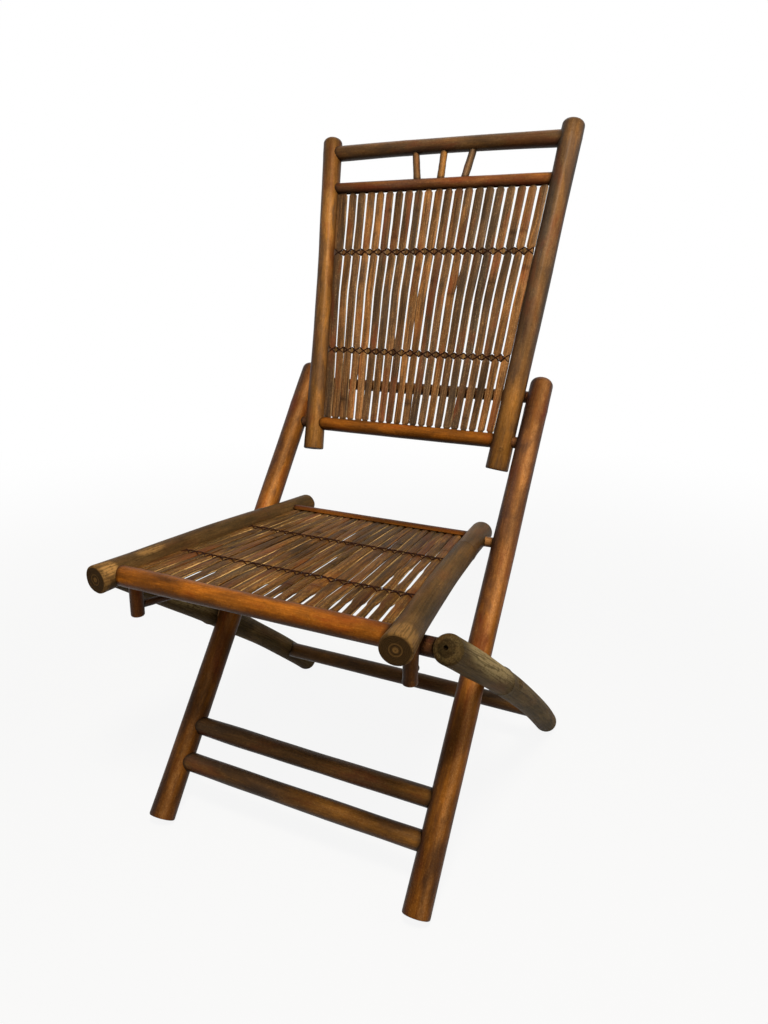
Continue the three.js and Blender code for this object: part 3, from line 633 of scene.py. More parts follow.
class Graph:
    """Short ways to add shader nodes."""

    def __init__(self, name):
        self.material = bpy.data.materials.new(name)
        self.material.use_nodes = True
        self.nodes = self.material.node_tree.nodes
        self.links = self.material.node_tree.links
        self.nodes.clear()
        self.shader = self.nodes.new("ShaderNodeBsdfPrincipled")
        out = self.nodes.new("ShaderNodeOutputMaterial")
        self.links.new(self.shader.outputs[0], out.inputs[0])

    def put(self, socket, value):
        if isinstance(value, bpy.types.NodeSocket):
            self.links.new(value, socket)
        else:
            socket.default_value = value

    def attribute(self, name, vector=False):
        node = self.nodes.new("ShaderNodeAttribute")
        node.attribute_name = name
        return node.outputs["Vector" if vector else "Fac"]

    def math(self, operation, a, b=0.0, clamp=False):
        node = self.nodes.new("ShaderNodeMath")
        node.operation = operation
        node.use_clamp = clamp
        self.put(node.inputs[0], a)
        self.put(node.inputs[1], b)
        return node.outputs[0]

    def vector(self, operation, a, b):
        node = self.nodes.new("ShaderNodeVectorMath")
        node.operation = operation
        self.put(node.inputs[0], a)
        self.put(node.inputs[1], b)
        return node.outputs[0]

    def noise(self, vector, scale, detail=2.0, rough=0.5, warp=0.0):
        node = self.nodes.new("ShaderNodeTexNoise")
        self.links.new(vector, node.inputs["Vector"])
        node.inputs["Scale"].default_value = scale
        node.inputs["Detail"].default_value = detail
        node.inputs["Roughness"].default_value = rough
        node.inputs["Distortion"].default_value = warp
        return node.outputs["Fac"]

    def ramp(self, value, low, high, start=0.0, stop=1.0):
        node = self.nodes.new("ShaderNodeMapRange")
        self.put(node.inputs["Value"], value)
        for key, number in (("From Min", low), ("From Max", high), ("To Min", start), ("To Max", stop)):
            node.inputs[key].default_value = number
        return node.outputs["Result"]

    def mix(self, share, a, b, kind="MIX"):
        node = self.nodes.new("ShaderNodeMix")
        node.data_type = "RGBA"
        node.blend_type = kind
        self.put(node.inputs["Factor"], share)
        self.put(node.inputs[6], a)
        self.put(node.inputs[7], b)
        return node.outputs[2]

    def combine(self, x, y, z):
        node = self.nodes.new("ShaderNodeCombineXYZ")
        for socket, value in zip(node.inputs, (x, y, z)):
            self.put(socket, value)
        return node.outputs[0]

    def bump(self, height, distance):
        node = self.nodes.new("ShaderNodeBump")
        node.inputs["Distance"].default_value = distance
        self.links.new(height, node.inputs["Height"])
        self.links.new(node.outputs[0], self.shader.inputs["Normal"])


def rgb(text):
    """A colour written as it looks, as linear values."""
    values = [int(text[i:i + 2], 16) / 255 for i in (0, 2, 4)]
    return tuple(v / 12.92 if v <= 0.04045 else ((v + 0.055) / 1.055) ** 2.4 for v in values) + (1.0,)


# SHEEN is the colour of the painted highlight; the last colour below is that of dirt and of painted shade.
SHEEN, STAIN, NODE_LINE = rgb("a8794a"), rgb("160c05"), rgb("1f1108")
PORES, GRIME_AND_SHADE = rgb("170d06"), rgb("0f0804")


def bamboo(name, colours, rough, contrast, glint_strength, level, coat=0.0, bump=0.0003, sides=0.5, patches=0.6):
    """Smoked and lacquered bamboo. grain holds each point's place round and along the stem, in metres.
    colours are base, warm, deep, olive, pale, ruddy and dusky. sides sets how strong the painted light and shade
    round a culm are, and the glint strength sets the painted glints."""
    base, warm, deep, olive, pale, ruddy, dusky = (rgb(text) for text in colours.split())
    g = Graph(name)
    grain = g.attribute("grain", True)
    seed, tone, shade, cut, band, bare, dirt, rub = (
        g.attribute(key) for key in ("seed", "tone", "shade", "cut", "band", "bare", "dirt", "rub"))
    offset = g.combine(*[g.math("MULTIPLY", seed, share) for share in (0.731, 0.317, 0.913)])

    def stretched(along, shift=0.0):
        moved = g.vector("ADD", g.vector("MULTIPLY", grain, (1, 1, along)), offset)
        return g.vector("ADD", moved, (shift, shift * 0.7, shift * 0.3)) if shift else moved

    def scaled(colour, value):
        return g.mix(1.0, colour, g.combine(value, value, value), "MULTIPLY")

    fibre = g.noise(stretched(0.02), 2300, 3, 0.62)
    streak = g.noise(stretched(0.03, 3.1), 520, 3, 0.6, 0.2)
    patch = g.noise(stretched(0.22, 5.7), 70, 4, 0.66, 0.3)
    second = g.noise(stretched(0.12, 9.3), 45, 3, 0.6, 0.2)
    speck = g.noise(stretched(0.75, 1.7), 700, 2, 0.6)
    stain = g.noise(stretched(0.6, 7.9), 230, 4, 0.66)

    colour = g.mix(g.ramp(patch, 0.36, 0.62), base, warm)
    leaning = g.math("ADD", g.ramp(second, 0.36, 0.64, -0.32, 0.32), tone, True)
    colour = g.mix(leaning, olive, colour)
    colour = g.mix(g.math("MULTIPLY", g.ramp(streak, 0.58, 0.36), 0.7 * contrast), colour, deep)
    # Painted shade and light round a culm: the deep colour on the sides turned away from the light, the warm colour
    # on the lit side.
    colour = g.mix(g.ramp(rub, 0.4, 0.03, 0.0, sides), colour, deep)
    colour = g.mix(g.ramp(rub, 0.5, 1.0, 0.0, 0.6 * sides), colour, warm)
    colour = scaled(colour, g.ramp(fibre, 0.33, 0.67, 1.0 - 0.26 * contrast, 1.0 + 0.26 * contrast))
    # Painted glints: pale specks that stand in for a sparkling highlight.
    glint = g.math("MULTIPLY", g.ramp(speck, 0.52, 0.72), g.ramp(streak, 0.42, 0.66, 0.35, 1.0))
    colour = g.mix(g.math("MULTIPLY", glint, glint_strength), colour, pale)
    colour = g.mix(g.math("MULTIPLY", g.ramp(stain, 0.58, 0.76), 0.5), colour, STAIN)
    smudge = g.math("MULTIPLY", band, g.ramp(second, 0.35, 0.6, 0.35, 0.8))
    colour = g.mix(smudge, colour, NODE_LINE)
    # A painted highlight in the sheen colour along the lit ridge, broken up by specks.
    ridge = g.math("MULTIPLY", g.ramp(rub, 0.88, 1.0, 0.0, 0.8 * sides),
                   g.ramp(speck, 0.36, 0.64, 0.25, 0.85))
    colour = g.mix(ridge, colour, SHEEN)
    hue = g.noise(stretched(0.3, 17.3), 42, 3, 0.6, 0.3)
    colour = g.mix(g.ramp(hue, 0.52, 0.68, 0.0, patches), colour, ruddy)
    colour = g.mix(g.ramp(hue, 0.48, 0.32, 0.0, patches), colour, dusky)
    mottle = g.noise(stretched(0.5, 21.1), 380, 3, 0.7)
    colour = scaled(colour, g.ramp(mottle, 0.3, 0.7, 0.84, 1.16))
    zone = g.noise(stretched(0.3, 12.9), 30, 3, 0.55, 0.5)
    colour = scaled(colour, g.ramp(zone, 0.34, 0.66, 0.6, 1.3))

    rings = g.nodes.new("ShaderNodeTexWave")
    rings.wave_type = "RINGS"
    rings.rings_direction = "Z"
    g.links.new(grain, rings.inputs["Vector"])
    rings.inputs["Scale"].default_value = 190
    rings.inputs["Distortion"].default_value = 0.7
    rings.inputs["Detail"].default_value = 2
    rings.inputs["Detail Scale"].default_value = 2.0
    pores = g.noise(stretched(1, 2.3), 1700, 2, 0.6)
    sawn = g.mix(g.ramp(rings.outputs["Fac"], 0.25, 0.75, 0.0, 0.6), deep, base)
    sawn = g.mix(g.ramp(pores, 0.5, 0.68, 0.0, 0.75), sawn, PORES)
    colour = g.mix(g.ramp(cut, 0.45, 0.8), colour, sawn)
    worn_and_lit = g.math("MULTIPLY", g.ramp(streak, 0.36, 0.56), g.ramp(stain, 0.68, 0.44))
    through = g.math("MAXIMUM", g.ramp(worn_and_lit, 0.1, 0.6, 0.25, 1.0), g.ramp(cut, 0.45, 0.8))
    # Pale worn spots and pale sawn rings, and on the slats also the painted edge highlights.
    colour = g.mix(g.math("MULTIPLY", bare, through), colour, pale)
    # Real dirt at the joints, and painted shade in pith holes, on the slats' side faces and at their ends.
    colour = g.mix(g.math("MULTIPLY", dirt, 0.8), colour, GRIME_AND_SHADE)
    colour = scaled(colour, shade)
    g.put(g.shader.inputs["Base Color"], colour)

    roughness = g.math("ADD", g.ramp(speck, 0.3, 0.7, rough - 0.09, rough + 0.12),
                       g.math("MULTIPLY", bare, 0.15))
    roughness = g.math("ADD", roughness, g.math("MULTIPLY", g.ramp(cut, 0.4, 0.8), 0.25), True)
    g.put(g.shader.inputs["Roughness"], roughness)
    g.shader.inputs["Specular IOR Level"].default_value = level
    g.shader.inputs["Specular Tint"].default_value = rgb("ffcf96")
    g.shader.inputs["Coat Weight"].default_value = coat
    g.shader.inputs["Coat Roughness"].default_value = 0.26
    grooves = g.math("ADD", g.math("MULTIPLY", fibre, 0.6), g.math("MULTIPLY", streak, 0.7))
    height = g.math("MULTIPLY", grooves, contrast)
    height = g.math("ADD", height, g.math("MULTIPLY", speck, 0.9))
    height = g.math("ADD", height, g.math("MULTIPLY", stain, 0.4))
    height = g.math("ADD", height, g.math("MULTIPLY", g.math("MULTIPLY", cut, rings.outputs["Fac"]), 0.8))
    g.bump(height, bump)
    return g.material


def cord_material():
    g = Graph("lacing_cord")
    grain = g.attribute("grain", True)
    strand = g.noise(g.vector("MULTIPLY", grain, (1, 1, 0.3)), 2600, 3, 0.6)
    worn = g.noise(grain, 150, 3, 0.6)
    colour = g.mix(g.ramp(strand, 0.35, 0.65), rgb("100704"), rgb("341609"))
    colour = g.mix(g.ramp(worn, 0.56, 0.74, 0, 0.45), colour, rgb("5e3418"))
    g.put(g.shader.inputs["Base Color"], colour)
    g.put(g.shader.inputs["Roughness"], g.ramp(strand, 0.3, 0.7, 0.6, 0.85))
    g.shader.inputs["Specular IOR Level"].default_value = 0.08
    g.bump(strand, 0.00018)
    return g.material


RED = bamboo("red_brown_culm", "633812 865018 26120e 46302a d09a58 5a2210 30201c", 0.38, 0.35, 0.24, 0.1,
             bump=0.0006, sides=0.65, patches=0.65)
GOLD = bamboo("gold_brown_culm", "66370b 864c12 2a1306 4e2e10 c48c42 66280c 331e0c", 0.38, 0.35, 0.18, 0.08,
              bump=0.0005, sides=0.6, patches=0.55)
OLIVE = bamboo("olive_brown_culm", "623e19 825522 221610 3f352c b8925e 5c2a14 322823", 0.4, 0.35, 0.26, 0.12,
               coat=0.02, bump=0.0005, sides=0.65)
DARK = bamboo("smoked_culm", "4c371d 604222 251a0e 42331d 9a7240 50301a 32291a", 0.46, 0.5, 0.24, 0.04,
              sides=0.15, patches=0.4)
ROOT = bamboo("root_end_culm", "5e4a2a 6c522e 2a1e10 54462a b09a6c 5c3a1e 3a2e1e", 0.5, 0.8, 0.26, 0.01,
              bump=0.0005, sides=0.2, patches=0.4)
SLAT = bamboo("split_slat", "603f20 80542a 24150c 483a2c c09a68 64321a 33281f", 0.38, 1.1, 0.42, 0.09,
              coat=0.03, patches=0.75)
SEAT_SLAT = bamboo("worn_seat_slat", "5b3712 784a16 1c0f05 42300f dcb272 5c2e10 2c200e", 0.42, 1.3, 0.42, 0.04)
PIN = bamboo("pale_pin", "8a5a2a a07042 5c361b 6e4824 c99d66 5e2812 33261e", 0.42, 0.6, 0.3, 0.12, patches=0.2)
CHIP = bamboo("lacing_chip", "5a371e 70482a 22140a 4a3020 a07c48 5e2812 33261e", 0.5, 0.8, 0.3, 0.06)
CORD = cord_material()


# Frame: poles, stretchers and stop rod. The paths of cross pieces run into the culms that they are cut to.

SIDES = (("left", -1), ("right", 1))
INTO_CULM = 10
CLEARANCE = 0.3
# The pole shade tables paint light and shade along a pole: painted shade at the foot and the top, painted light in
# the middle.
POLE_LOOKS = {
    "left": {"nodes": [(211, 0.2), (458, 0.15), (674, 0.35)], "tone": [(0, 1.0), (450, 0.95), (750, 0.6)],
             "shade": [(0, 0.62), (230, 0.67), (320, 0.64), (420, 0.85), (510, 1.08), (630, 0.88), (750, 0.58)]},
    "right": {"nodes": [(246, 0.2), (476, 0.12), (698, 0.5)],
              "tone": [(0, 1.0), (300, 0.8), (520, 0.55), (680, 0.35), (750, 0.25)],
              "shade": [(0, 0.5), (60, 0.66), (190, 0.84), (320, 1.0), (550, 1.0), (680, 0.8), (750, 0.55)]},
}
STOP_RADIUS = 8.8
STOP_APART = post_radius(STOP_RADIUS) + STOP_RADIUS + CLEARANCE
STOP_PLACE = BACK_PIVOT + STOP_APART / math.sin(POLE_LEAN - BACK_LEAN)


def pole_cope(place, side):
    return cope_end(on_pole(place, side * POLE_X), on_pole(1, 0), pole_radius(place))


def between_poles(name, node, place, radius, material, bow=(0, 0, 0), **look):
    centre, half = on_pole(place, 0), np.array([POLE_X - INTO_CULM, 0, 0])
    path = line(centre - half, centre + half, (0, -1, 0), bow=bow)
    culm(name, path, (radius, radius), material, "frame", "red_bamboo", node, pole_cope(place, -1),
         pole_cope(place, 1), **look)


for label, side in SIDES:
    path = line(on_pole(-POLE_BELOW, side * POLE_X), on_pole(POLE_LENGTH, side * POLE_X), (1, 0, 0),
                bow=(side * 0.5, 0.8, 0), steps=40)
    culm("pole_culm_" + label, path, POLE_RADII, RED, "frame", "red_bamboo", "pole_" + label,
         flat_end(2.2, 2.4, 6.0), dome_end(11.0, 3.5), seed=11 + side * 3, uneven=0.22, grounded=True,
         **POLE_LOOKS[label])
# The stretchers get painted shade: their shade factor darkens them for lying low under the seat.
for name, place, radius, seed, knot in (("upper", 129.3, 13.0, 21, 234), ("lower", 77.1, 13.3, 22, 238)):
    between_poles("stretcher_culm_" + name, "front_stretcher_" + name, place, radius, OLIVE, bow=(0, 0, -0.8),
                  nodes=[(knot, 0.15)], seed=seed, tone=[(0, 0.4), (150, 0.5), (378, 1.0)], shade=0.62)
between_poles("stop_rod_culm", "back_stop_rod", STOP_PLACE, STOP_RADIUS, RED, nodes=[(236, 0.2)], seed=31,
              shade=0.7, sides=32)


# Rear legs

LEG_RADII = (17.9, 18.8)
LEG_NODE = 232
LEG_X_AT_POLE = POLE_X + pole_radius(LEG_PIVOT) + 0.8 + 18.8
LEG_FOOT = np.array([241.3, 465.5, 14.8])
LEG_PIVOT_SHARE = 0.324
LEG_X_AT_ROD = 228.4
PEG_AT, PEG_RADIUS, ROD_RADIUS = 56.5, 8.8, 11.3
ROD_CENTRE = on_seat(PEG_AT + PEG_RADIUS + CLEARANCE + ROD_RADIUS, 0, -(17.0 + CLEARANCE + ROD_RADIUS))
STRETCHER_Z = 77.0
# The right leg's shade table paints light on its lower part, which is turned away from the light, and is darker at
# its top end.
LEG_SHADES = {"left": 0.95,
              "right": [(0, 0.62), (22, 0.75), (50, 0.95), (200, 1.0), (250, 1.1), (420, 1.3), (600, 1.2)]}


def leg_points(side, count=60):
    pivot = on_pole(LEG_PIVOT, side * LEG_X_AT_POLE)
    rod = ROD_CENTRE + [side * LEG_X_AT_ROD, 0, 0]
    start = rod + unit(rod - pivot) * 16
    foot = LEG_FOOT * [side, 1, 1]
    end = foot + unit(foot - pivot) * 10
    t = LEG_PIVOT_SHARE
    control = (pivot - (1 - t) ** 2 * start - t ** 2 * end) / (2 * t * (1 - t))
    share = np.linspace(0, 1, count)[:, None]
    return (1 - share) ** 2 * start + 2 * share * (1 - share) * control + share ** 2 * end


for label, side in SIDES:
    culm("rear_leg_culm_" + label, Path(leg_points(side), (1, 0, 0)), LEG_RADII, ROOT, "legs", "olive_bamboo",
         "rear_leg_" + label, dome_end(8.0, 3.0, 2.6, dull=0.65), dome_end(11.0, 3.0), nodes=[(LEG_NODE, 1.3)],
         scars=[(LEG_NODE + 42, -0.4, 7.0)], seed=41 + side, tone=0.5, uneven=0.45, step=6, grounded=True,
         worn=[(LEG_NODE / 2 + 12, -0.5, LEG_NODE / 2 - 20, 1.0, 0.75)], rub=(0.85, 1.25), shade=LEG_SHADES[label])

leg_line = leg_points(1, 400)
leg_path = Path(leg_line, (1, 0, 0))
to_rod = np.abs(leg_line[:, 1] - ROD_CENTRE[1]) + np.abs(leg_line[:, 2] - ROD_CENTRE[2])
rod_place = leg_path.along[np.argmin(to_rod)]
low_place = leg_path.along[np.argmin(np.abs(leg_line[:, 2] - STRETCHER_Z))]


def leg_cope(place, side):
    centre, tangent, _, _ = leg_path.at(np.array([place]))
    radius = lerp(LEG_RADII[0], LEG_RADII[1], place / leg_path.length)
    flip = np.array([side, 1, 1])
    return cope_end(centre[0] * flip, tangent[0] * flip, radius)


def between_legs(name, node, middle, half, place, radius, material, slot, bow=(0, 0, 0), **look):
    path = line(middle - [half, 0, 0], middle + [half, 0, 0], (0, -1, 0), bow=bow)
    culm(name, path, (radius, radius), material, "legs", slot, node, leg_cope(place, -1),
         leg_cope(place, 1), **look)


# The leg rod and the rear stretcher get painted shade for lying under the seat.
between_legs("leg_rod_culm", "leg_top_rod", ROD_CENTRE, 205, rod_place, ROD_RADIUS, RED, "olive_bamboo",
             nodes=[(120, 0.3)], seed=51, tone=0.3, shade=0.62, sides=36)
low_middle = leg_path.at(np.array([low_place]))[0][0] * [0, 1, 1]
between_legs("rear_stretcher_culm", "rear_stretcher", low_middle, 215, low_place, 13, OLIVE, "red_bamboo",
             bow=(0, 0, 0.8), nodes=[(255, 0.3)], seed=52, tone=0.5, shade=0.6)


# Seat frame

RAIL_TAPER = ((0, 18.6), (25, 17.9), (60, 16.9), (130, 16.1), (230, 15.5), (330, 15.1), (385, 15.6),
              (420, 15.9))
ARCH, INWARD = 4.0, 2.0


def rail_radius(distance):
    return float(np.interp(distance, *zip(*RAIL_TAPER)))


def rail_point(distance, side):
    """Middle of a side rail: a real culm is a little arched, and bowed towards the slats."""
    swing = math.sin(math.pi * min(1.0, max(0.0, distance / SEAT_LENGTH)))
    return on_seat(distance, side * (seat_rail_x(distance) - INWARD * swing), ARCH * swing)


def rail_way(distance, side):
    return unit(rail_point(distance + 2, side) - rail_point(distance - 2, side))


def rail_cope(distance, side):
    return cope_end(rail_point(distance, side), rail_way(distance, side), rail_radius(distance))


def slat_groove(offset):
    """Where a rail takes the slats' ends: place along it, offset, half height and depth."""
    return (0.0, offset, SLAT_THICKNESS / 2 + 0.3, 4.8)


RAIL_LOOKS = {
    "left": {"nodes": [(158, 0.1), (300, 0.6)],
             "worn": [(80, 0.35, 22, 0.42, 0.55), (13, 0.7, 11, 0.7, 0.9), (3, 1.2, 5, 2.4, 0.4)]},
    "right": {"nodes": [(150, 0.1), (300, 0.6)],
              "worn": [(14, 2.1, 20, 0.45, 0.75), (12, 0.4, 16, 1.2, 0.4), (60, 2.3, 60, 0.3, 0.3)]},
}
PAST_LENGTH = {"left": 9.0, "right": 1.0}
HOOK_REACH = {"left": 66, "right": 17}
HOOK_DROP, HOOK_SLOPE = 52.9, 0.125
for label, side in SIDES:
    reached = np.linspace(0, SEAT_LENGTH + PAST_LENGTH[label], 60)
    path = Path([rail_point(distance, side) for distance in reached], (0, 0, 1))
    culm("seat_rail_culm_" + label, path, RAIL_TAPER, DARK, "seat", "olive_bamboo", "seat_rail_" + label,
         flat_end(3.0, 0.0, 0.0, golden=0.4), dome_end(9.0, 3.0), seed=61 + side, tone=0.5, uneven=0.3, step=6,
         rub=(0.8, 1.25), shade=0.98, **RAIL_LOOKS[label])
    peg_x = rail_point(PEG_AT, side)[0]
    path = line(on_seat(PEG_AT, peg_x, -12), on_seat(PEG_AT, peg_x, -67.4), (0, -1, 0), steps=10)
    culm("peg_culm_" + label, path, (PEG_RADIUS, 8.6), RED, "seat", "red_bamboo", "seat_peg_" + label,
         rail_cope(PEG_AT, side), dome_end(2.4, 0.6), seed=71 + side, tone=0.35, shade=0.8, sides=32, step=4,
         uneven=0.12)
    hook_reach = HOOK_REACH[label]
    hook_a = on_seat(PEG_AT, peg_x, -HOOK_DROP)
    hook_x = side * seat_rail_x(PEG_AT + hook_reach)
    hook_b = on_seat(PEG_AT + hook_reach, hook_x, -HOOK_DROP - HOOK_SLOPE * hook_reach)
    path = line(hook_a + unit(hook_b - hook_a) * 7, hook_b, (0, 0, 1), steps=10)
    culm("hook_culm_" + label, path, (5.2, 5.1), RED, "seat", "red_bamboo", "seat_hook_" + label,
         cope_end(on_seat(PEG_AT, peg_x, -50), (0, 0, 1), PEG_RADIUS), dome_end(1.8, 0.6), seed=74 + side, tone=0.4,
         shade=0.6, sides=24, step=4, uneven=0.1)

SLAT_THICKNESS = 4.4
SEAT_RISE = 4.0
FRONT_RAIL, FRONT_RADIUS, REAR_RADIUS = 25.9, 13.0, 10.6
FRONT_FACE = FRONT_RAIL + math.sqrt(FRONT_RADIUS ** 2 - SEAT_RISE ** 2)
REAR_FACE = SEAT_FRONT_REACH - math.sqrt(REAR_RADIUS ** 2 - SEAT_RISE ** 2)
# The way round a culm goes from its hint towards cross(tangent, hint): up for the front rail, down for the rear
# The rear rail's shade factor paints shade on it: it is drawn darker than its bamboo.
for name, distance, radius, facing, bow, look in (
        ("front", FRONT_RAIL, FRONT_RADIUS, 1, -0.8,
         {"nodes": [(118, 0.08), (300, 0.1)], "seed": 81, "shade": [(0, 1.2), (150, 1.1), (380, 0.85)]}),
        ("rear", SEAT_FRONT_REACH, REAR_RADIUS, -1, 0.0, {"nodes": [(170, 0.1)], "seed": 82, "shade": 0.5})):
    x = seat_rail_x(distance) - INTO_CULM
    path = line(on_seat(distance, -x), on_seat(distance, x), (0, facing, 0), bow=(0, bow, 0))
    culm(f"seat_{name}_culm", path, (radius, radius), GOLD, "seat", "gold_bamboo", f"seat_{name}_rail",
         rail_cope(distance, -1), rail_cope(distance, 1), tone=0.85, uneven=0.15, oval=0.004,
         groove=slat_groove(facing * SEAT_RISE), **look)


# Slats

def slat_section(half, front, rear, crown, shaved):
    """Half outline of a slat's cross-section: a crowned face, soft edges, and a narrower flat back."""
    edge = min(1.1, half * 0.3)
    sink = crown + 0.9 * shaved
    top = [(x, front - sink * (x / half) ** 2.2) for x in np.array([0.0, 0.38, 0.7, 0.88]) * (half - edge)]
    rim = front - sink * ((half - edge) / half) ** 2.2
    top += [(half - edge, rim), (half - edge * 0.28, rim - edge * 0.28), (half, rim - edge)]
    bottom = [(half - 0.1, rear + 1.1), (half - 0.6, rear + 0.3), (half - 1.4, rear),
              (half * 0.4, rear + 0.15)]
    return top + bottom


def rounded_inset(distance, depth, flat, shoulder):
    """How far a notch cuts in: full depth up to flat, then a rounded shoulder out to the edge."""
    t = min(1.0, max(0.0, (flat + shoulder - abs(distance)) / shoulder))
    return depth * (1 - math.sqrt(1 - t * t))


def opening_share(off, reach_v):
    """How far a gap has opened, from 0 at its two pointed ends to 1 along its straight middle part."""
    return min(1.0, max(0.0, 5.0 * (1 - abs(off) / reach_v)))


# Places where a slat gets points of its own: round a lacing row, round a node mark, and at its ends
ROW_RINGS = (-12, -10, -8.5, -7.2, -6.3, -5.7, -5.3, -5.0, -3.5, 0, 3.5, 5.0, 5.3, 5.7, 6.3, 7.2, 8.5, 10, 12)
MARK_RINGS = (-6, -4, -3, -2, -1.2, -0.5, 0.3, 1, 1.8, 3, 5)
END_RINGS = (0, 0.02, 1.2, 2.6)
CHIP_SIDES = 12


class Panel:
    """Slats side by side. Each gap between two has its own drift and width, so neighbours never touch."""

    def __init__(self, place, length, starts, ends, widths, rows, rng, drift, bow, breath, outer, roundness):
        self.place, self.length, self.rows, self.bare = place, length, rows, TONGUE + 0.5
        self.starts, self.ends, self.widths = starts, ends, widths
        self.outer, self.roundness = outer, roundness
        count = len(starts)
        self.drifts = [smooth_noise(rng, 5, drift) for _ in range(count + 1)]
        self.breaths = [smooth_noise(rng, 4, breath) for _ in range(count + 1)]
        self.common = smooth_noise(rng, 3, bow)
        self.ripples = [smooth_noise(rng, 9, 0.1) for _ in range(2 * count)]
        self.notches = rng.uniform(0.9, 1.7, (count, 2, len(rows)))
        self.shoulders = rng.uniform(1.2, 3.0, (count, 2, len(rows), 2))
        self.corners = rng.uniform(0.8, 2.4, (count, 4))
        self.shifts = {}
        self.lean = 0.0
        self.fade = (1.0, 1.0)
        self.closings = {}
        self.openings = {}

    def middle(self, i, v):
        return lerp(self.starts[i], self.ends[i], v / self.length)

    def gap(self, i, v):
        """Middle and width of gap i, which lies left of slat i; the first and last are the panel's edges."""
        share = v / self.length
        width = lerp(self.widths[0], self.widths[1], share)
        count = len(self.starts)
        calm = min(1.0, 4 * share + 0.3, 4 * (1 - share) + 0.3)
        if i in (0, count):
            side = -1 if i == 0 else 1
            x = self.middle(0 if i == 0 else -1, v) + side * (width / 2 + self.outer * calm)
            for centre, reach_v, wide in self.openings.get(i, []):
                x -= side * wide * opening_share(v - centre, reach_v)
            return x - side * 0.2 * abs(self.drifts[i](share)), 0.0
        left, right = self.middle(i - 1, v), self.middle(i, v)
        clear = (right - left - width) * max(0.25, 1 + self.breaths[i](share))
        for centre, reach_v in self.closings.get(i, []):
            clear *= 1 - 0.97 * math.exp(-((v - centre) / reach_v) ** 4)
        for centre, reach_v, wide in self.openings.get(i, []):
            clear += wide * opening_share(v - centre, reach_v)
        x = (left + right) / 2 + self.drifts[i](share) * calm + self.common(share) * calm
        x += self.shifts.get(i, 0.0) * min(1.0, 1.6 * (1 - share))
        x += self.lean * (1 - (i / count) ** 3) * min(1.0, max(0.0, (share - 0.56) / 0.3))
        return x, max(clear, 0.22)

    def edges(self, i, v):
        """Left and right edge of slat i at a place along it, and how deep it is notched there."""
        share = v / self.length
        left, wide = self.gap(i, v)
        left += wide / 2
        right, wide = self.gap(i + 1, v)
        right -= wide / 2
        left += 0.5 * abs(self.ripples[2 * i](share)) * (i > 0)
        right -= 0.5 * abs(self.ripples[2 * i + 1](share)) * (i < len(self.starts) - 1)
        notch = 0.0
        for k, row in enumerate(self.rows):
            off = v - row
            for side in (0, 1):
                depth = self.notches[i, side, k]
                shoulder = self.shoulders[i, side, k, 0 if off < 0 else 1]
                cut = rounded_inset(off, depth, 5.0, shoulder)
                notch = max(notch, cut / depth)
                if side == 0:
                    left += cut
                else:
                    right -= cut
        from_foot, from_top = v - self.bare, self.length - self.bare - v
        ends = (from_foot, from_foot, from_top, from_top)
        for corner, place, side in zip(self.corners[i], ends, (0, 1, 0, 1)):
            if place < 2.6:
                cut = corner * (1 - max(0.0, place) / 2.6) ** 0.9
                if side == 0:
                    left += cut
                else:
                    right -= cut
        return left, right, notch

    def slat(self, sheet, i, rng, seed, tone, shade, rear, marks):
        length, bare = self.length, self.bare
        places = list(np.linspace(0, length, int(length / 5)))
        places += [row + step for row in self.rows for step in ROW_RINGS]
        places += [mark + step for mark in marks for step in MARK_RINGS]
        places += [place for step in END_RINGS for place in (bare + step, length - bare - step)]
        places = sorted(p for p in set(np.round(places, 3)) if 0 < p < length)
        keep = thinned([0.0] + places, 0.3) + [length]
        turned = rng.uniform(-0.05, 0.05)
        roll = smooth_noise(rng, 2, 0.04)
        wave = smooth_noise(rng, 4, 0.18)
        crown = rng.uniform(0.8, 1.2) * self.roundness
        highlight_waves = [smooth_noise(rng, 5, 0.5) for _ in range(2)]
        verts, grains, wear_and_highlight, bands, gap_and_groove_shade = [], [], [], [], []
        for v in keep:
            share = v / length
            left, right, notch = self.edges(i, v)
            # Painted highlights: pale lines along both top edges of a slat, stronger and weaker along its length.
            edge_highlight = [min(1.0, max(0.0, 0.3 + wave_of_light(share))) for wave_of_light in highlight_waves]
            centre, half = (left + right) / 2, max((right - left) / 2, 1.2)
            free = min(1.0, max(0.0, min(v, length - v) - bare) / 6)
            ridge = sum(0.3 * math.exp(-((v - m) / 1.5) ** 2) - 0.15 * math.exp(-((v - m - 2.2) / 1.0) ** 2)
                        for m in marks)
            mark = max([math.exp(-((v - m) / 4.5) ** 2) for m in marks] or [0.0])
            back = lerp(-SLAT_THICKNESS / 2, rear, free)
            right_side = slat_section(half, SLAT_THICKNESS / 2, back, crown, notch)
            ring = right_side + [(-x, z) for x, z in right_side][::-1][:-1]
            near = min(v - bare, length - bare - v)
            for x, z in ring:
                tilt = (turned + roll(share)) * free * x
                lift = wave(share) * free + (ridge if z > 0 else 0.0)
                verts.append(self.place(centre + x, v, z + tilt + lift))
                grains.append((x, z, v))
                side_face = abs(x) > half - 0.9
                on_edge = half - 0.75 < abs(x) and z > 0
                # Worn wood where the notches for the lacing cut in, and the painted edge highlights.
                wear_and_highlight.append(max(0.6 * notch * (side_face and z > rear + 1.2),
                                 0.85 * edge_highlight[int(x > 0)] * on_edge))
                bands.append(mark * 0.9)
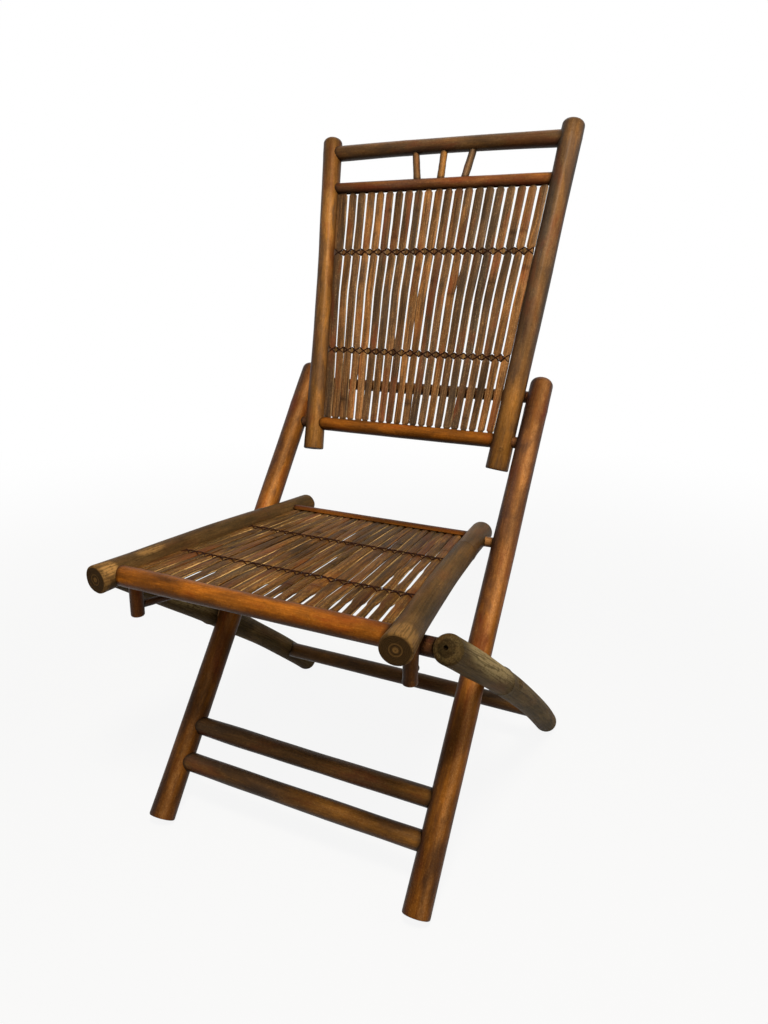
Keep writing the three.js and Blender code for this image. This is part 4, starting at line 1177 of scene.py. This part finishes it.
                # Painted shade on the lower side faces in the gaps between slats, and towards the ends, where they
                # go into the rails' grooves.
                gap_side_shade = 0.75 if side_face and z < 0.9 else 0.0
                gap_and_groove_shade.append(0.8 * math.exp(-max(near, 0) / 1.6) if near < 8 else gap_side_shade)
        sides = len(ring)
        verts += [np.mean(verts[:sides], 0), np.mean(verts[-sides:], 0)]
        grains += [(0, 0, 0), (0, 0, length)]
        faces = ring_faces(len(keep), sides, len(verts) - 2, len(verts) - 1)
        fade = np.interp(np.array(grains)[:, 2], (0, length), self.fade)
        sheet.add(verts, faces, grain=np.array(grains) * MM, cut=0.0, bare=np.array(wear_and_highlight + [0, 0]),
                  band=np.array(bands + [0, 0]), dirt=np.array(gap_and_groove_shade + [1, 1]), seed=seed, tone=tone, rub=0.5,
                  shade=shade * fade)

    def node_marks(self, rng, count):
        marks = []
        for _ in range(count):
            where = rng.uniform(22, self.length - 22)
            if all(abs(where - row) > 18 for row in self.rows) and all(abs(where - m) > 25 for m in marks):
                marks.append(where)
        return marks

    def chips(self, sheet, row, rng):
        """Small wooden chips that fill the gaps where the lacing passes."""
        for i in range(1, len(self.starts)):
            _, left, _ = self.edges(i - 1, row)
            right, _, _ = self.edges(i, row)
            centre, half = (left + right) / 2, (right - left) / 2 - 0.05
            tall = rng.uniform(4.9, 5.6)
            outline = []
            for k in range(CHIP_SIDES):
                angle = 2 * math.pi * k / CHIP_SIDES
                c, d = math.cos(angle), math.sin(angle)
                out, up = abs(c) ** 0.7, abs(d) ** 0.9
                outline.append((half * math.copysign(out, c), tall * math.copysign(up, d)))
            verts, grains = [], []
            top = rng.uniform(0.9, 1.6)
            tip = rng.uniform(-0.5, 0.5)
            levels = ((0.7, -1.5), (1.0, -1.0), (1.0, top - 0.7), (0.78, top - 0.15), (0.35, top + 0.25))
            for scale, z in levels:
                for x, y in outline:
                    across = centre + x * scale + tip * (1 - scale) * 0.4
                    verts.append(self.place(across, row + y * scale, z + 0.1 * x * tip))
                    grains.append((x * scale, z, y * scale))
            verts += [self.place(centre, row, -1.5), self.place(centre + tip * 0.3, row, top + 0.3)]
            grains += [(0, -1.5, 0), (0, top, 0)]
            faces = ring_faces(len(levels), CHIP_SIDES, len(verts) - 2, len(verts) - 1)
            sheet.add(verts, faces, grain=np.array(grains) * MM, cut=0.0, bare=rng.uniform(0, 0.6),
                      seed=rng.randint(90), tone=rng.uniform(0, 1), shade=rng.uniform(0.45, 0.95), rub=0.5)


def spread(count, width, half_span, edge_gap):
    outermost = half_span - edge_gap - width / 2
    return np.linspace(-outermost, outermost, count)


SECOND_HEIGHT = BACK_REACH - 83.0
TOP_HEIGHT = BACK_REACH - 24.8
SECOND_RADIUS, BOTTOM_RADIUS = 9.0, 10.9
TONGUE = 3.4
SLAT_FOOT = BOTTOM_RADIUS - TONGUE
SLAT_TOP = SECOND_HEIGHT - SECOND_RADIUS + TONGUE
BACK_SLAT_LENGTH = SLAT_TOP - SLAT_FOOT
BACK_NORMAL = unit(on_back(0, 0, 1) - on_back(0, 0, 0))
BACK_ROWS = [share * BACK_SLAT_LENGTH for share in (0.3077, 0.7339)]
rng = np.random.RandomState(7)
back_panel = Panel(lambda u, v, z: on_back(SLAT_FOOT + v, u, z), BACK_SLAT_LENGTH,
                   spread(21, 11.0, post_x(SLAT_FOOT) - post_radius(SLAT_FOOT), 1.4),
                   spread(21, 12.7, post_x(SLAT_TOP) - post_radius(SLAT_TOP), 1.4),
                   (11.7, 13.4), BACK_ROWS, rng, 0.24, 0.5, 0.12, 0.6, 1.0)
back_panel.lean = 3.6
# Painted shade along the back slats: lighter at their feet, darker towards the top.
back_panel.fade = (1.15, 0.95)
# Gaps that close along part of their length: distance up from the slats' feet, and how far it reaches
back_panel.closings = {1: [(0, 70)], 2: [(30, 95)], 3: [(0, 70)], 4: [(95, 28)], 5: [(0, 62)], 8: [(128, 12)],
                       10: [(185, 30)], 11: [(0, 52)], 14: [(230, 14)], 16: [(0, 55)]}
back_panel.openings = {i: [(20, 60, 0.7)] for i in (4, 6, 7, 8, 9, 10, 12, 13, 14, 15, 17, 18, 19, 20)}
BACK_LOOKS = [(0.55, 0.95), (0.75, 1.05), (0.6, 1.2), (1.0, 1.35), (0.9, 1.3), (0.4, 1.0), (0.55, 1.1),
              (0.5, 1.0), (0.35, 0.95), (1.0, 1.25), (0.8, 1.1), (0.2, 0.9), (0.45, 1.0), (0.9, 1.15),
              (0.35, 0.85), (0.3, 0.95), (0.15, 0.8), (0.6, 1.05), (0.3, 0.95), (0.8, 1.1), (0.95, 1.2)]
for i, (tone, shade) in enumerate(BACK_LOOKS):
    sheet = Sheet()
    marks = back_panel.node_marks(rng, rng.choice([0, 1, 1, 2]))
    back_panel.slat(sheet, i, rng, 100 + i * 3, tone, shade, -1.9, marks)
    sheet.make(f"back_slat_strip_{i + 1:02d}", SLAT, "back", "slat_bamboo", [f"back_slat_{i + 1:02d}"])
for k, row in enumerate(BACK_ROWS):
    sheet = Sheet()
    back_panel.chips(sheet, row, rng)
    sheet.make(f"back_lacing_chips_{k + 1}", CHIP, "back", "slat_bamboo")

SEAT_FROM, SEAT_TO = FRONT_FACE - TONGUE, REAR_FACE + TONGUE
SEAT_SLAT_LENGTH = SEAT_TO - SEAT_FROM
SEAT_ROWS = [share * SEAT_SLAT_LENGTH for share in (0.2681, 0.6639)]


def seat_centres(distance, width):
    outermost = seat_rail_x(distance) - SEAT_RAIL_RADIUS - 1.2 - width / 2
    innermost = max(outermost / 21, (width + 0.5) / 2)
    right = np.linspace(innermost, outermost, 11)
    return np.concatenate([-right[::-1], right])


seat_starts, seat_ends = seat_centres(SEAT_FROM, 13.0), seat_centres(SEAT_TO, 13.5)
seat_panel = Panel(lambda u, v, z: on_seat(SEAT_FROM + v, u, SEAT_RISE + z), SEAT_SLAT_LENGTH,
                   seat_starts, seat_ends, (15.1, seat_ends[1] - seat_ends[0] - 0.55), SEAT_ROWS, rng, 0.5, 0.3, 0.22, 0.6, 0.9)
seat_panel.shifts = {3: -4, 4: -7, 5: -5, 6: -3, 9: 2, 11: -2.5, 12: -3, 13: -5.5, 14: -6, 15: -1.5, 17: 1.5,
                     18: -1.5, 20: -1, 21: -1}
# Places where a gap opens: distance from the seat's front, how far it reaches either way, and how wide
SEAT_OPENINGS = {5: [(56, 18, 2.2)], 6: [(60, 22, 2.8)], 11: [(56, 24, 2.6)], 12: [(60, 24, 2.8)],
                 13: [(48, 16, 2.2), (165, 38, 2.4)], 14: [(52, 18, 2.2)], 15: [(52, 25, 2.8)],
                 17: [(62, 14, 2.0)], 18: [(47, 32, 3.6)], 19: [(48, 34, 3.6), (145, 24, 2.2)],
                 20: [(50, 36, 3.6), (176, 28, 2.0)], 21: [(54, 40, 3.6), (170, 36, 2.6)],
                 22: [(50, 40, 2.0), (165, 42, 2.0)]}
seat_panel.openings = {i: [(d - SEAT_FROM, far, wide) for d, far, wide in gaps]
                       for i, gaps in SEAT_OPENINGS.items()}
for label, first, last in (("left", 0, 11), ("right", 11, 22)):
    sheet = Sheet()
    for i in range(first, last):
        marks = seat_panel.node_marks(rng, rng.choice([0, 1, 1]))
        tone, shade = rng.uniform(0.35, 1.0), rng.uniform(0.72, 1.16)
        seat_panel.slat(sheet, i, rng, 200 + i * 3, tone, shade, -1.0, marks)
    sheet.make("seat_slat_strips_" + label, SEAT_SLAT, "seat", "slat_bamboo", ["seat_slats_" + label])
for k, row in enumerate(SEAT_ROWS):
    sheet = Sheet()
    seat_panel.chips(sheet, row, rng)
    sheet.make(f"seat_lacing_chips_{k + 1}", CHIP, "seat", "slat_bamboo")


# Back frame

POSTS = {
    "left": ([(0, 16.5), (90, 15.4), (200, 14.1), (330, 14.1), (450, 15.3), (514, 15.8)], 2.4,
             {"tone": 0.95, "shade": [(0, 0.68), (60, 0.84), (440, 0.9), (488, 0.7), (513, 0.45)]}),
    "right": (POST_RADII, 0.8,
              {"scars": [(30, 0.25, 3.2)], "tone": [(0, 1.0), (110, 0.9), (210, 0.1), (513, 0.1)],
               "shade": [(0, 0.76), (60, 0.85), (300, 0.82), (488, 0.78), (513, 0.55)]}),
}
post_way = {side: unit(on_back(100, side * post_x(100)) - on_back(0, side * post_x(0))) for _, side in SIDES}
for label, side in SIDES:
    girth, bow, look = POSTS[label]
    a = on_back(-BACK_FOOT, side * post_x(-BACK_FOOT))
    b = on_back(BACK_REACH, side * post_x(BACK_REACH))
    culm("post_culm_" + label, line(a, b, BACK_NORMAL, bow=(bow, 0, 0), steps=40), girth, OLIVE, "back",
         "olive_bamboo", "back_post_" + label, flat_end(1.8, 2.4, 5.0, rings=False), dome_end(8.0, 3.0),
         nodes=[(104, 0.12), (300, 0.15), (491, 0.3)], seed=91 + side, uneven=0.3, step=6, **look)

upward = unit(on_back(1, 0) - on_back(0, 0))
for name, height, radius, material, slot, hint, bow, look in (
        ("top", TOP_HEIGHT, 11.6, OLIVE, "olive_bamboo", BACK_NORMAL, 2.0,
         {"nodes": [(125, 0.3)], "seed": 94, "tone": 0.5, "shade": 0.64}),
        ("second", SECOND_HEIGHT, SECOND_RADIUS, RED, "red_bamboo", -upward, 0.6,
         {"nodes": [(135, 0.06)], "seed": 95, "tone": [(0, 0.2), (150, 0.4), (380, 1.0)],
          "shade": [(0, 0.6), (140, 0.72), (380, 1.15)], "groove": slat_groove(0.0)}),
        ("bottom", 0.0, BOTTOM_RADIUS, GOLD, "gold_bamboo", upward, 0.0,
         {"nodes": [(145, 0.06)], "seed": 96, "tone": 0.7, "shade": 0.92, "groove": slat_groove(0.0)})):
    x = post_x(height) - INTO_CULM
    path = line(on_back(height, -x), on_back(height, x), hint, bow=upward * bow)
    copes = [cope_end(on_back(height, s * post_x(height)), post_way[s], post_radius(height)) for s in (-1, 1)]
    culm(name + "_rail_culm", path, (radius, radius), material, "back", slot, f"back_{name}_rail", *copes,
         uneven=0.14, oval=0.005, sides=40, **look)

for i, (foot_x, top_x) in enumerate(((-35.0, -46.5), (3.0, 3.0), (41.0, 52.5))):
    a, b = on_back(SECOND_HEIGHT, foot_x), on_back(TOP_HEIGHT + 2, top_x)
    way = unit(b - a)
    path = line(a + way * 8, b - way * 10, (1, 0, 0), steps=8)
    culm(f"spindle_culm_{i + 1}", path, (5.9, 5.6), OLIVE, "back", "olive_bamboo", f"back_spindle_{i + 1}",
         cope_end(on_back(SECOND_HEIGHT + 0.5, 0), (1, 0, 0), SECOND_RADIUS),
         cope_end(on_back(TOP_HEIGHT + 1.9, 0), (1, 0, 0), 11.6), nodes=[(16, 0.2)], seed=97 + i,
         tone=(0.3, 0.8, 0.2)[i], sides=24, step=3, uneven=0.15, shade=0.9)


# Hinge pins

PIN_IN_HOLE = 2.8

# The leg pins stay the CAD model's own: the poles and the legs leave nothing of them to see
for label, side in SIDES:
    for kind, place, radius, material, slot, other in (
            ("back", BACK_PIVOT, 8.6, RED, "red_bamboo",
             (on_pole(BACK_PIVOT, side * 161.1), post_way[side], post_radius(0))),
            ("seat", SEAT_PIVOT, 7.3, PIN, "pale_wood",
             (rail_point(SEAT_FRONT_REACH, side), rail_way(SEAT_FRONT_REACH, side),
              rail_radius(SEAT_FRONT_REACH)))):
        from_x, to_x = POLE_X - (pole_radius(place) + 1), abs(other[0][0]) + (other[2] + 1)
        path = line(on_pole(place, side * from_x), on_pole(place, side * to_x), (0, 0, 1), steps=4)
        culm(f"{kind}_pin_dowel_{label}", path, (radius, radius), material, "frame", slot,
             f"{kind}_pivot_pin_{label}", pole_cope(place, side), cope_end(*other, gap=-PIN_IN_HOLE),
             seed=120 + side, sides=28, step=1.5, uneven=0.04, tone=0.5)


# Lacing

STRAND_SIDES, STRAND_STEP, PLIES, PITCH = 8, 0.9, 2, 3.4


def strand(sheet, points, radius, seed):
    """A twisted cord along smoothed points."""
    points = np.asarray(points, float)
    padded = np.vstack([2 * points[0] - points[1], points, 2 * points[-1] - points[-2]])
    fine = []
    for i in range(len(points) - 1):
        p0, p1, p2, p3 = padded[i:i + 4]
        count = max(3, int(np.linalg.norm(p2 - p1) / 0.6))
        t = np.linspace(0, 1, count, endpoint=False)[:, None]
        fine.append(0.5 * (2 * p1 + (p2 - p0) * t + (2 * p0 - 5 * p1 + 4 * p2 - p3) * t ** 2
                           + (3 * p1 - p0 - 3 * p2 + p3) * t ** 3))
    fine.append(points[-1:])
    path = Path(np.concatenate(fine), (0.3, 0.2, 1))
    places = np.linspace(0, path.length, int(path.length / STRAND_STEP))
    thetas = np.arange(STRAND_SIDES) * 2 * np.pi / STRAND_SIDES
    centre, tangent, first, second = path.at(places)
    verts, grain = [], []
    for k, place in enumerate(places):
        twist = thetas - 2 * np.pi * place / PITCH
        r = radius * (0.86 + 0.2 * np.abs(np.cos(PLIES / 2 * twist)))
        ways = np.cos(thetas)[:, None] * first[k] + np.sin(thetas)[:, None] * second[k]
        ring = centre[k] + r[:, None] * ways
        verts.append(ring)
        along = np.full(STRAND_SIDES, place + seed * 13.0)
        grain.append(np.stack([radius * np.cos(twist), radius * np.sin(twist), along], 1))
    verts = np.concatenate(verts)
    grain = np.concatenate(grain)
    verts = np.concatenate([verts, [centre[0], centre[-1]]])
    grain = np.concatenate([grain, grain[:1], grain[-1:]])
    faces = ring_faces(len(places), STRAND_SIDES, len(verts) - 2, len(verts) - 1)
    sheet.add(verts, faces, grain=grain * MM)


def lace(name, node, body, panel, row, seed):
    """Two cords that cross on the face of each slat, dip into the gaps, and cross again behind."""
    rng = np.random.RandomState(seed)
    radius, height = 0.7, 5.0
    count = len(panel.starts)
    stations = []
    for i in range(count + 1):
        if i == 0:
            stations.append(panel.edges(0, row)[0] - 0.1)
        elif i == count:
            stations.append(panel.edges(count - 1, row)[1] + 0.1)
        else:
            stations.append((panel.edges(i - 1, row)[1] + panel.edges(i, row)[0]) / 2)
    over = SLAT_THICKNESS / 2 + radius * 0.75
    sheet = Sheet()
    for phase in (0, 1):
        loop = []
        for face in (1, -1):
            points = []
            jitter = rng.uniform(-0.6, 0.6, (count + 1, 2))
            for i in range(count + 1):
                level = height * (1 if (i + phase) % 2 else -1) * face
                x = stations[i] + jitter[i, 0] * 0.6
                y = level + jitter[i, 1]
                points.append(panel.place(x, row + y, 0.75 * face))
                if i < count:
                    next_x, next_y = stations[i + 1] + jitter[i + 1, 0] * 0.6, -level + jitter[i + 1, 1]
                    crossing = over + (radius * 1.6 if phase else 0.0)
                    for share, high in ((0.1, over - 0.9), (0.22, over - 0.1), (0.38, over + 0.1), (0.5, crossing),
                                        (0.62, over + 0.1), (0.78, over - 0.1), (0.9, over - 0.9)):
                        across, up = lerp(x, next_x, share), row + lerp(y, next_y, share)
                        points.append(panel.place(across, up, face * high))
            loop += points if face > 0 else points[::-1]
        strand(sheet, loop, radius, seed + phase)
    sheet.make(name, CORD, body, "cord", [node], sharp=70)


for k in (0, 1):
    lace(f"back_lacing_cord_{k + 1}", f"back_lacing_{k + 1}", "back", back_panel, BACK_ROWS[k], 300 + k)
    lace(f"seat_lacing_cord_{k + 1}", f"seat_lacing_{k + 1}", "seat", seat_panel, SEAT_ROWS[k], 310 + k)
